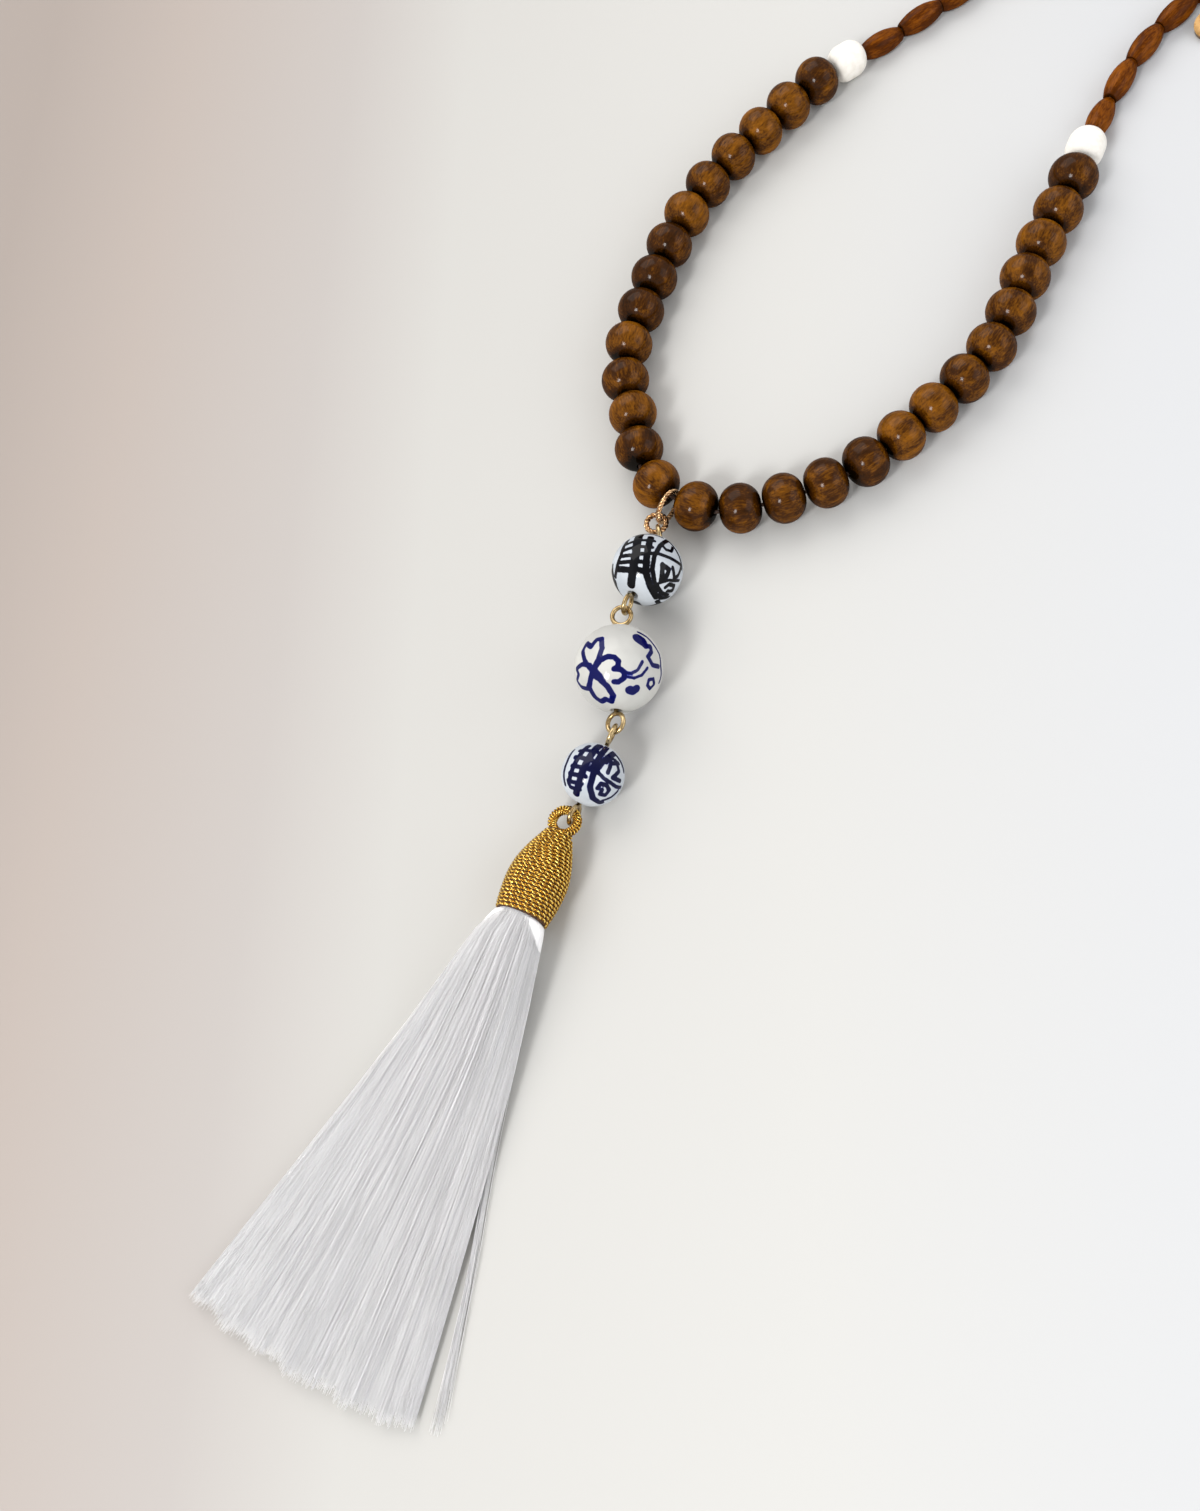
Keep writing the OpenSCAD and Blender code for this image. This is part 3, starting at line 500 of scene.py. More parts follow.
@dataclass(frozen=True)
class ViscoseSilk(Finish):
    """Viscose filament: white and silky, with streaks along the strands: painted shade and sheen in the
    colour, relief in the bumps.
    """

    bright: str = "#ffffff"
    shade: str = "#efeff1"
    # Streaks and broad bands across half the fan, and along it: in the colour both are painted shade and
    # sheen between strands, and the streaks also bump the surface
    relief_and_shade_streaks: tuple[float, float] = (420.0, 3.0)
    painted_shade_bands: tuple[float, float] = (70.0, 1.6)

    def inputs(self, tree: bpy.types.NodeTree) -> dict:
        """Draws the streaks on the attribute lie, the place across and along the fan: painted shade and sheen
        in the colour, relief in the bumps.

        Args:
            tree: The material's tree.

        Returns:
            Inputs of the shader.
        """
        lie = add_node(tree, "ShaderNodeAttribute", attribute_name="lie").outputs["Vector"]
        noises = []
        for across, along in (self.relief_and_shade_streaks, self.painted_shade_bands):
            drawn = add_node(tree, "ShaderNodeMapping", {"Vector": lie, "Scale": (across, along, 1.0)})
            noise = add_node(tree, "ShaderNodeTexNoise", {"Vector": drawn, "Scale": 1.0, "Detail": 2.0})
            noises.append(noise)
        both = add_node(tree, "ShaderNodeMath", {0: noises[0], 1: noises[1]}, operation="ADD")
        half = add_node(tree, "ShaderNodeMath", {0: both, 1: 0.5}, operation="MULTIPLY")
        return {
            # Painted shade and sheen in streaks along the strands
            "Base Color": add_node(
                tree, "ShaderNodeValToRGB", {"Fac": half}, [(0.38, self.shade), (0.55, self.bright)]
            ),
            "Roughness": 0.3, "Specular IOR Level": 0.5,
            "Subsurface Weight": 0.5, "Subsurface Radius": (1.0, 1.0, 1.0), "Subsurface Scale": 0.5 * MM,
            "Normal": add_node(
                tree, "ShaderNodeBump", {"Height": noises[0], "Strength": 0.15, "Distance": 0.1 * MM}
            ),
        }


@dataclass(frozen=True)
class MatteCard(Finish):
    """White card, matte, with the window's light painted on: darker and warmer to the upper left of the
    picture.
    """

    # Way of the painted light from the warm, dimmer side to the cool, brighter side of the floor, per metre,
    # and the tone at the middle
    painted_light_way: tuple[float, float, float] = (3.1, 1.85, 0.0)
    middle: float = 0.69

    def inputs(self, tree: bpy.types.NodeTree) -> dict:
        """Paints the slow change of light over the floor, darker and warmer to the upper left: painted light
        and shade.

        Args:
            tree: The material's tree.

        Returns:
            Inputs of the shader.
        """
        place = add_node(tree, "ShaderNodeTexCoord").outputs["Object"]
        way = add_node(tree, "ShaderNodeVectorMath", {0: place, 1: self.painted_light_way}, operation="DOT_PRODUCT")
        tone = add_node(tree, "ShaderNodeMath", {0: way.outputs["Value"], 1: self.middle}, operation="ADD")
        # Painted light: dim warm tones to bright cool ones
        stops = [
            (0.0, "#9b918a"), (0.15, "#a89e97"), (0.32, "#afaaa6"), (0.43, "#bcbbb7"), (0.72, "#c5c5c2"),
            (0.97, "#c6c8ca"),
        ]
        return {"Base Color": add_node(tree, "ShaderNodeValToRGB", {"Fac": tone}, stops), "Roughness": 0.75}


@dataclass
class Skin:
    """Points in millimetres with faces and point attributes, on the way to a mesh."""

    points: np.ndarray
    faces: list
    values: dict = field(default_factory=dict)

    def placed(self, centre: np.ndarray, axes: np.ndarray) -> Skin:
        """Moves the skin from its own axes to the part's.

        Args:
            centre: Where its origin goes.
            axes: Its three axes as rows.

        Returns:
            The moved skin.
        """
        return Skin(self.points @ axes + centre, self.faces, self.values)

    def mesh_object(self, name: str, material: bpy.types.Material) -> bpy.types.Object:
        """Turns the skin to an object with smooth shading and outward faces.

        Args:
            name: Name of the object.
            material: Its only material.

        Returns:
            The linked object.
        """
        mesh = bpy.data.meshes.new(name)
        mesh.from_pydata((self.points * MM).tolist(), [], self.faces)
        for key, values in self.values.items():
            array = np.asarray(values, dtype=np.float32)
            kind, unit = ("FLOAT_VECTOR", "vector") if array.ndim == 2 else ("FLOAT", "value")
            mesh.attributes.new(key, kind, "POINT").data.foreach_set(unit, array.ravel())
        form = bmesh.new()
        form.from_mesh(mesh)
        bmesh.ops.recalc_face_normals(form, faces=form.faces)
        form.to_mesh(mesh)
        form.free()
        mesh.materials.append(material)
        mesh.shade_smooth()
        mesh.set_sharp_from_angle(angle=math.radians(50))
        return new_object(name, mesh)


def joined(skins: Sequence[Skin]) -> Skin:
    """Joins skins that carry the same attributes.

    Args:
        skins: The skins.

    Returns:
        One skin.
    """
    faces, start = [], 0
    for skin in skins:
        faces.extend([[index + start for index in face] for face in skin.faces])
        start += len(skin.points)
    values = {key: np.concatenate([skin.values[key] for skin in skins]) for key in skins[0].values}
    return Skin(np.vstack([skin.points for skin in skins]), faces, values)


def grid_faces(rows: int, columns: int, close_rows: bool = True) -> list:
    """Lists the quads of a grid of points whose rows are closed rings.

    Args:
        rows: Rows of points.
        columns: Points in a row.
        close_rows: Whether the last row joins the first.

    Returns:
        Quads as lists of indices.
    """
    row = columns * np.arange(rows if close_rows else rows - 1)[:, None]
    column = np.arange(columns)[None, :]
    below = (row + columns) % (rows * columns)
    beside = (column + 1) % columns
    quads = np.stack([row + column, row + beside, below + beside, below + column], axis=-1)
    return quads.reshape(-1, 4).tolist()


def revolved(profile: Sequence[tuple[float, float]], sides: int) -> Skin:
    """Turns a closed profile round the first axis.

    Args:
        profile: Radius and place along the axis, as a closed loop.
        sides: Sides round the axis.

    Returns:
        The turned skin.
    """
    angle = FULL_TURN * np.arange(sides)[None, :] / sides
    radius, place = np.asarray(profile).T[:, :, None]
    along = np.repeat(place, sides, axis=1)
    points = np.stack([along, radius * np.cos(angle), radius * np.sin(angle)], axis=-1)
    return Skin(points.reshape(-1, 3), grid_faces(len(profile), sides))


def basis(axis: np.ndarray, up: Sequence[float] = (0, 0, 1)) -> np.ndarray:
    """Makes three square axes from a direction.

    Args:
        axis: The first axis.
        up: A direction that the third axis stays near.

    Returns:
        The axes as rows.
    """
    first = np.asarray(axis) / np.linalg.norm(axis)
    second = np.cross(up, first)
    second /= np.linalg.norm(second)
    return np.array([first, second, np.cross(first, second)])


def towards(degrees: float, rise: float = 0.0) -> np.ndarray:
    """Gives the unit vector of a heading and a rise, both in degrees."""
    h, r = math.radians(degrees), math.radians(rise)
    return np.array([math.cos(r) * math.cos(h), math.cos(r) * math.sin(h), math.sin(r)])


@dataclass
class CadNode:
    """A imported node's mesh, read in millimetres."""

    node: bpy.types.Object

    def solids(self) -> list[tuple[np.ndarray, np.ndarray]]:
        """Splits the node into its solids.

        Returns:
            Triangle centroids and areas of each solid, in the mesh's order.
        """
        mesh = self.node.data
        points = np.empty(len(mesh.vertices) * 3)
        mesh.vertices.foreach_get("co", points)
        points = points.reshape(-1, 3) / MM
        triangles = np.empty(len(mesh.loops), dtype=np.int64)
        mesh.loops.foreach_get("vertex_index", triangles)
        triangles = triangles.reshape(-1, 3)
        keys, index = np.unique(np.round(points, 4), axis=0, return_inverse=True)
        corners = index.reshape(-1)[triangles]
        # Each corner takes the lowest label of its triangle until none changes
        label = np.arange(len(keys))
        while True:
            low = label[corners].min(axis=1)
            fresh = label.copy()
            for side in range(3):
                np.minimum.at(fresh, corners[:, side], low)
            fresh = fresh[fresh]
            if np.array_equal(fresh, label):
                break
            label = fresh
        a, b, c = (points[triangles[:, side]] for side in range(3))
        area = np.linalg.norm(np.cross(b - a, c - a), axis=1) / 2
        owner = label[corners[:, 0]]
        return [((a + b + c)[owner == key] / 3, area[owner == key]) for key in np.unique(owner)]

    def turned_poses(self) -> list[tuple[np.ndarray, np.ndarray]]:
        """Finds where each turned solid lies.

        Returns:
            The centre and the unit axis of each solid.
        """
        poses = []
        for mids, area in self.solids():
            centre = (mids * area[:, None]).sum(axis=0) / area.sum()
            spread = ((mids - centre) * area[:, None]).T @ (mids - centre)
            sizes, vectors = np.linalg.eigh(spread)
            # The axis is the direction whose spread differs from the other two
            longest = sizes[1] - sizes[0] <= sizes[2] - sizes[1]
            poses.append((centre, vectors[:, 2] if longest else vectors[:, 0]))
        return poses

    def smooth_copy(self, name: str, material: bpy.types.Material, sharp: float = 35.0) -> bpy.types.Object:
        """Copies the node's mesh with merged points and smooth shading.

        Args:
            name: Name of the copy.
            material: Its material.
            sharp: Edges sharper than this many degrees stay sharp.

        Returns:
            The linked copy.
        """
        mesh = bpy.data.meshes.new(name)
        form = bmesh.new()
        form.from_mesh(self.node.data)
        bmesh.ops.remove_doubles(form, verts=form.verts, dist=1e-7)
        form.to_mesh(mesh)
        form.free()
        mesh.materials.clear()
        mesh.materials.append(material)
        for face in mesh.polygons:
            face.material_index = 0
        mesh.shade_smooth()
        mesh.set_sharp_from_angle(angle=math.radians(sharp))
        return new_object(name, mesh)


def finish_piece(piece: bpy.types.Object, slot: Slot, *nodes: str) -> None:
    """Hands a piece to the frame.

    Args:
        piece: The piece.
        slot: Its slot in the record; not used.
        nodes: CAD nodes that it stands for.
    """
    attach(piece, "root")
    if nodes:
        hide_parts(*nodes)
    LOG.info("%s: %d faces", piece.name, len(piece.data.polygons))


class NodeTreeKit:
    """Geometry node trees that are shared by several pieces."""

    @staticmethod
    def group(name: str, sizes: Sequence[str]) -> bpy.types.NodeTree:
        """Makes a geometry tree with named sizes and a material input.

        Args:
            name: Name of the tree.
            sizes: Names of its float inputs.

        Returns:
            The tree, without nodes.
        """
        tree = bpy.data.node_groups.new(name, "GeometryNodeTree")
        tree.interface.new_socket("Geometry", in_out="INPUT", socket_type="NodeSocketGeometry")
        for size in sizes:
            tree.interface.new_socket(size, in_out="INPUT", socket_type="NodeSocketFloat")
        tree.interface.new_socket("Material", in_out="INPUT", socket_type="NodeSocketMaterial")
        tree.interface.new_socket("Geometry", in_out="OUTPUT", socket_type="NodeSocketGeometry")
        return tree

    @staticmethod
    def close(tree: bpy.types.NodeTree, geometry: bpy.types.Node, material: bpy.types.NodeSocket) -> None:
        """Ends a tree in realized, smooth geometry with its material.

        Args:
            tree: The tree.
            geometry: The node that makes the geometry.
            material: Socket of the material.
        """
        real = add_node(tree, "GeometryNodeRealizeInstances", {"Geometry": geometry})
        smooth = add_node(tree, "GeometryNodeSetShadeSmooth", {"Geometry": real})
        dressed = add_node(tree, "GeometryNodeSetMaterial", {"Geometry": smooth, "Material": material})
        add_node(tree, "NodeGroupOutput", {0: dressed})

    @classmethod
    def twisted_cord(cls, strands: int, sides: int, first: float = 0.0) -> bpy.types.NodeTree:
        """Twists strands round every path of a wire mesh.

        Args:
            strands: Strands in the cord.
            sides: Sides of a strand.
            first: Turn of the first strand, as a share of a full turn.

        Returns:
            The tree.
        """
        tree = cls.group(f"twisted_cord_{strands}", ["Twist length", "Strand offset", "Strand radius"])
        given = add_node(tree, "NodeGroupInput").outputs
        path = add_node(tree, "GeometryNodeMeshToCurve", {"Mesh": given["Geometry"]})
        ring = add_node(
            tree, "GeometryNodeCurvePrimitiveCircle", {"Resolution": sides, "Radius": given["Strand radius"]}
        )
        along = add_node(tree, "GeometryNodeSplineParameter").outputs["Length"]
        turns = add_node(tree, "ShaderNodeMath", {0: along, 1: given["Twist length"]}, operation="DIVIDE")
        normal = add_node(tree, "GeometryNodeInputNormal")
        tangent = add_node(tree, "GeometryNodeInputTangent")
        side = add_node(tree, "ShaderNodeVectorMath", {0: tangent, 1: normal}, operation="CROSS_PRODUCT")
        join = add_node(tree, "GeometryNodeJoinGeometry")
        for strand in range(strands):
            own = first + strand / strands
            turned = add_node(tree, "ShaderNodeMath", {0: turns, 1: own}, operation="ADD")
            phase = add_node(tree, "ShaderNodeMath", {0: turned, 1: FULL_TURN}, operation="MULTIPLY")
            parts = []
            for wave, axis in (("COSINE", normal), ("SINE", side)):
                share = add_node(tree, "ShaderNodeMath", {0: phase}, operation=wave)
                reach = add_node(
                    tree, "ShaderNodeMath", {0: share, 1: given["Strand offset"]}, operation="MULTIPLY"
                )
                part = add_node(tree, "ShaderNodeVectorMath", {0: axis, "Scale": reach}, operation="SCALE")
                parts.append(part)
            offset = add_node(tree, "ShaderNodeVectorMath", {0: parts[0], 1: parts[1]}, operation="ADD")
            moved = add_node(tree, "GeometryNodeSetPosition", {"Geometry": path, "Offset": offset})
            tube = add_node(
                tree, "GeometryNodeCurveToMesh", {"Curve": moved, "Profile Curve": ring, "Fill Caps": True}
            )
            tree.links.new(tube.outputs["Mesh"], join.inputs["Geometry"])
        cls.close(tree, join, given["Material"])
        return tree

    @classmethod
    def filaments(cls) -> bpy.types.NodeTree:
        """Gives every path of a wire mesh a thin round thickness that tapers to its tip.

        Returns:
            The tree.
        """
        tree = cls.group("filaments", ["Filament radius", "Tip share"])
        given = add_node(tree, "NodeGroupInput").outputs
        path = add_node(tree, "GeometryNodeMeshToCurve", {"Mesh": given["Geometry"]})
        ring = add_node(
            tree, "GeometryNodeCurvePrimitiveCircle", {"Resolution": 3, "Radius": given["Filament radius"]}
        )
        place = add_node(tree, "GeometryNodeSplineParameter").outputs["Factor"]
        taper = add_node(
            tree, "ShaderNodeMapRange", {"Value": place, "To Min": 1.0, "To Max": given["Tip share"]}
        )
        tube = add_node(
            tree, "GeometryNodeCurveToMesh", {"Curve": path, "Profile Curve": ring, "Scale": taper}
        )
        cls.close(tree, tube, given["Material"])
        return tree

    @staticmethod
    def grown(
        name: str, paths: Sequence[np.ndarray], tree: bpy.types.NodeTree, sizes: dict,
        material: bpy.types.Material, closed: bool = False, lies: Sequence[np.ndarray] = (),
    ) -> bpy.types.Object:
        """Runs a tree on paths and keeps the result as a plain mesh.

        Args:
            name: Name of the piece.
            paths: Points of each path in millimetres.
            tree: The geometry tree.
            sizes: Its float inputs in metres, or plain shares.
            material: Its material.
            closed: Whether each path is a closed ring.
            lies: The attribute lie of each path's points, where the material reads it.

        Returns:
            The finished object.
        """
        edges, start = [], 0
        for path in paths:
            count = len(path)
            edges.extend([[start + i, start + i + 1] for i in range(count - 1)])
            if closed:
                edges.append([start + count - 1, start])
            start += count
        wire = bpy.data.meshes.new(name + "_paths")
        wire.from_pydata((np.vstack(paths) * MM).tolist(), edges, [])
        if lies:
            flat = np.vstack(lies).astype(np.float32).ravel()
            wire.attributes.new("lie", "FLOAT_VECTOR", "POINT").data.foreach_set("vector", flat)
        source = new_object(name + "_paths", wire)
        modifier = source.modifiers.new("grow", "NODES")
        modifier.node_group = tree
        given = {**sizes, "Material": material}
        for item in tree.interface.items_tree:
            if item.in_out == "INPUT" and item.name in given:
                modifier[item.identifier] = given[item.name]
        depsgraph = bpy.context.evaluated_depsgraph_get()
        mesh = bpy.data.meshes.new_from_object(source.evaluated_get(depsgraph))
        mesh.name = name
        bpy.data.objects.remove(source)
        bpy.data.meshes.remove(wire)
        return new_object(name, mesh)


@dataclass
class BeadString:
    """The round, white and oval beads, each turned again over its CAD node."""

    frame: dict
    wood: Finish = StainedWood("walnut_stained_wood")
    white: Finish = PaintedWhite("matte_white_paint")
    oval: Finish = StainedWood(
        "oval_stained_wood", deep="#220e01", mid="#4f2503", light="#8c4d0c", roughness=0.5, coat=0.12
    )
    wood_count: int = 28
    wood_d: float = 10.0
    wood_len: float = 8.4
    white_d: float = 7.8
    white_len: float = 8.0
    white_corner: float = 3.0
    oval_d: float = 5.0
    oval_end_d: float = 2.9
    oval_len: float = 10.0
    bore_d: float = 1.5
    # Points of a profile that lie nearer than this count as one
    merge_mm: float = 0.06
    # Radius within which painted shade darkens a bead towards its hole, where the beads meet, and how much it
    # darkens there
    wood_hole_shade: tuple[float, float] = (4.0, 0.62)
    white_hole_shade: tuple[float, float] = (1.2, 0.1)
    oval_hole_shade: tuple[float, float] = (2.2, 0.36)
    # Shares by which one bead is darker or lighter than the next
    wood_tones: tuple[float, float] = (-0.07, 0.08)
    oval_tones: tuple[float, float] = (-0.06, 0.06)
    # Each bead's grain is cut from another place, up to so far off
    grain_reach: float = 60.0
    grain_seed: int = 900
    tone_seed: int = 31
    white_seed: int = 40
    oval_seeds: tuple[int, int] = (60, 80)

    def corner_profile(self, d: float, length: float, corner: float, steps: int) -> list[tuple[float, float]]:
        """Draws the profile of a bead with rounded ends and a bore.

        Args:
            d: Diameter.
            length: Length along the bore.
            corner: Radius of the rounded ends.
            steps: Points in each end's arc.

        Returns:
            The closed profile.
        """
        bore = self.bore_d / 2
        start = math.acos(max(0.0, min(1.0, (bore - (d / 2 - corner)) / corner)))
        upper = [
            (d / 2 - corner + corner * math.cos(start * (1 - i / steps)),
             length / 2 - corner + corner * math.sin(start * (1 - i / steps)))
            for i in range(steps + 1)
        ]
        lower = [(r, -z) for r, z in reversed(upper)]
        if length <= 2 * corner + self.merge_mm:
            lower = lower[1:]
        if upper[0][0] <= bore + self.merge_mm:
            upper = upper[1:]
            lower = lower[:-1]
        return upper + lower + [(bore, -length / 2), (bore, 0.0), (bore, length / 2)]

    def oval_profile(self, steps: int) -> list[tuple[float, float]]:
        """Draws the profile of a long oval bead.

        Args:
            steps: Points along the outside.

        Returns:
            The closed profile.
        """
        rise = (self.oval_d - self.oval_end_d) / 2
        half = self.oval_len / 2
        bore = self.bore_d / 2
        arc = (half**2 + rise**2) / (2 * rise)
        places = [half * (1 - 2 * i / steps) for i in range(steps + 1)]
        outer = [(self.oval_d / 2 - arc + math.sqrt(arc**2 - z**2), z) for z in places]
        return outer + [(bore, -half), (bore, 0.0), (bore, half)]

    def dressed(self, skin: Skin, seed: int, pool: tuple[float, float], tone: float) -> Skin:
        """Adds the attributes that the wood and the paint read.

        Args:
            skin: The turned bead in its own axes.
            seed: Number of the bead, so that no two share their grain.
            pool: Radius within which painted shade darkens the bead towards its hole, and how much it darkens
                there.
            tone: Share by which the bead is lighter or darker.

        Returns:
            The same skin with its attributes.
        """
        rng = np.random.default_rng(self.grain_seed + seed)
        roll = rng.uniform(0, FULL_TURN)
        c, s = math.cos(roll), math.sin(roll)
        turn = np.array([[1, 0, 0], [0, c, s], [0, -s, c]])
        rim, depth = pool
        radius = np.hypot(skin.points[:, 1], skin.points[:, 2])
        near = np.clip((rim - radius) / (rim - self.bore_d / 2), 0, 1)
        skin.values = {
            "grain": skin.points @ turn + rng.uniform(-self.grain_reach, self.grain_reach, 3),
            # Painted shade, darkest at the hole where the beads meet
            "hole_shade": depth * near**1.2,
            "tone": np.full(len(skin.points), tone),
        }
        return skin

    def build(self) -> None:
        """Builds every bead over its CAD node."""
        nodes = self.frame["nodes"]
        wood, white, oval = (finish.material() for finish in (self.wood, self.white, self.oval))
        tones = np.random.default_rng(self.tone_seed).uniform(*self.wood_tones, self.wood_count)
        profile = self.corner_profile(self.wood_d, self.wood_len, self.wood_len / 2, 14)
        for number, tone in enumerate(tones, 1):
            name = f"wood_bead_{number:02d}"
            centre, axis = CadNode(nodes[name]).turned_poses()[0]
            skin = self.dressed(revolved(profile, 56), number, self.wood_hole_shade, tone)
            piece = skin.placed(centre, basis(axis)).mesh_object(f"round_{name}", wood)
            finish_piece(piece, Slot.DARK_WOOD, name)
        profile = self.corner_profile(self.white_d, self.white_len, self.white_corner, 10)
        for index, name in enumerate(("white_bead_left", "white_bead_right")):
            centre, axis = CadNode(nodes[name]).turned_poses()[0]
            skin = self.dressed(revolved(profile, 56), self.white_seed + index, self.white_hole_shade, 0.0)
            piece = skin.placed(centre, basis(axis)).mesh_object(f"painted_{name}", white)
            finish_piece(piece, Slot.WHITE_BEAD, name)
        profile = self.oval_profile(22)
        for first, name in zip(self.oval_seeds, ("oval_beads_left", "oval_beads_right")):
            skins = []
            for seed, (centre, axis) in enumerate(CadNode(nodes[name]).turned_poses(), first):
                tone = np.random.default_rng(seed).uniform(*self.oval_tones)
                skin = self.dressed(revolved(profile, 40), seed, self.oval_hole_shade, tone)
                skins.append(skin.placed(centre, basis(axis)))
            piece = joined(skins).mesh_object(f"turned_{name}", oval)
            finish_piece(piece, Slot.OVAL_WOOD, name)


@dataclass(frozen=True)
class PorcelainBead:
    """A drilled and glazed bead with a brushed pattern."""

    node: str
    slot: Slot
    glaze: Glaze
    radius: float
    # Sides round the bore
    around: int
    strokes: Sequence[Stroke]
    # Direction in which the middle of the pattern lies
    facing: tuple[float, float, float]
    # How much the brush is pressed, which widens the strokes
    press: float
    bore_d: float = 2.1
    # Width of the softened hole edge, and the drop from the sphere to its lip
    rim: float = 0.18
    lip_drop: float = 0.06
    # Points deeper than the glaze lie in the bore, which stays unpainted
    glaze_mm: float = 0.05
    unpainted: float = -2.0

    def bore_axis(self, mids: np.ndarray, centre: np.ndarray) -> np.ndarray:
        """Finds the bore's direction from the triangles inside the sphere.

        Args:
            mids: Centroids of the node's triangles.
            centre: The bead's centre.

        Returns:
            The unit axis, pointing down the row.
        """
        inner = mids[np.linalg.norm(mids - centre, axis=1) < 0.9 * self.radius] - centre
        axis = np.linalg.eigh(inner.T @ inner)[1][:, 2]
        return axis if axis[1] < 0 else -axis

    def sphere(self) -> Skin:
        """Turns the drilled sphere with softened hole edges.

        Returns:
            The skin in its own axes.
        """
        bore = self.bore_d / 2
        start = math.asin((bore + self.rim) / self.radius)
        steps = self.around // 2
        angles = [start + (math.pi - 2 * start) * i / steps for i in range(steps + 1)]
        outer = [(self.radius * math.sin(angle), self.radius * math.cos(angle)) for angle in angles]
        lip = outer[0][1] - self.lip_drop
        soft = bore + 0.3 * self.rim
        inside = lip - 0.5 * self.rim
        return revolved(
            outer + [(soft, -lip), (bore, -inside), (bore, 0.0), (bore, inside), (soft, lip)], self.around
        )

    def ink_depth(self, points: np.ndarray, axis: np.ndarray) -> np.ndarray:
        """Measures how deep each point lies in a stroke.

        Args:
            points: Points from the bead's centre.
            axis: The bore's direction; the pattern is repeated half a turn round it.

        Returns:
            Depth in millimetres, negative outside the strokes.
        """
        unit = points / np.linalg.norm(points, axis=1, keepdims=True)
        best = np.full(len(unit), self.unpainted)
        half_turn = 2 * np.outer(axis, axis) - np.eye(3)
        middle = np.asarray(self.facing) / np.linalg.norm(self.facing)
        across = np.cross(middle, DOWNWARD)
        across /= np.linalg.norm(across)
        down = np.cross(across, middle)
        for width, path in self.strokes:
            flat = np.array(path)
            rest = np.sqrt(np.clip(1 - (flat**2).sum(axis=1), 0.0, 1.0))
            drawn = flat[:, 0:1] * across + flat[:, 1:2] * down + rest[:, None] * middle
            for line in (drawn, drawn @ half_turn):
                # Each span is cut in four, so that it bends with the sphere
                spans = [np.linspace(a, b, 4, endpoint=False) for a, b in zip(line[:-1], line[1:])]
                fine = np.concatenate(spans + [line[-1:]])
                fine /= np.linalg.norm(fine, axis=1, keepdims=True)
                for a, b in zip(fine[:-1], fine[1:]):
                    along = np.clip((unit - a) @ (b - a) / ((b - a) @ (b - a) + 1e-9), 0, 1)
                    gap = np.linalg.norm(unit - a - along[:, None] * (b - a), axis=1)
                    best = np.maximum(best, (self.press * width / 2 - gap) * self.radius)
        in_bore = np.linalg.norm(points, axis=1) < self.radius - self.glaze_mm
        return np.where(in_bore, self.unpainted, best)

    def build(self, frame: dict) -> None:
        """Builds the bead over its CAD node.

        Args:
            frame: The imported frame.
        """
        mids, _ = CadNode(frame["nodes"][self.node]).solids()[0]
        centre = np.mean(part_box(self.node), axis=0) / MM
        axis = self.bore_axis(mids, centre)
        skin = self.sphere().placed(np.zeros(3), basis(axis))
        skin.values = {"ink": self.ink_depth(skin.points, axis)}
        name = self.node.replace("_bead", "")
        piece = skin.placed(centre, np.eye(3)).mesh_object(name, self.glaze.material())
        finish_piece(piece, self.slot, self.node)


@dataclass
class PorcelainRow:
    """The three porcelain beads, from the string down to the tassel."""

    frame: dict
    beads: tuple[PorcelainBead, ...] = (
        PorcelainBead(
            "porcelain_bead_top", Slot.PORCELAIN_NAVY,
            Glaze("glaze_black_navy", ink_deep="#030409", ink_thin="#0f1540"),
            radius=7.0, around=168, strokes=FRET, facing=(0.39, -0.31, 0.87), press=1.5,
        ),
        PorcelainBead(
            "porcelain_bead_middle", Slot.PORCELAIN_WHITE,
            Glaze("glaze_cobalt", ground="#c6c6c1", cloud="#b9b9b5", ink_deep="#070c4c", ink_thin="#1c2c96"),
            radius=8.5, around=192, strokes=BLOSSOM, facing=(0.38, -0.24, 0.89), press=1.6,
        ),
        PorcelainBead(
            "porcelain_bead_bottom", Slot.PORCELAIN_NAVY,
            Glaze("glaze_navy", ink_deep="#050830", ink_thin="#141d72"),
            radius=6.0, around=152, strokes=LATTICE, facing=(0.36, -0.17, 0.92), press=1.85,
        ),
    )

    def build(self) -> None:
        """Builds the three beads."""
        for bead in self.beads:
            bead.build(self.frame)


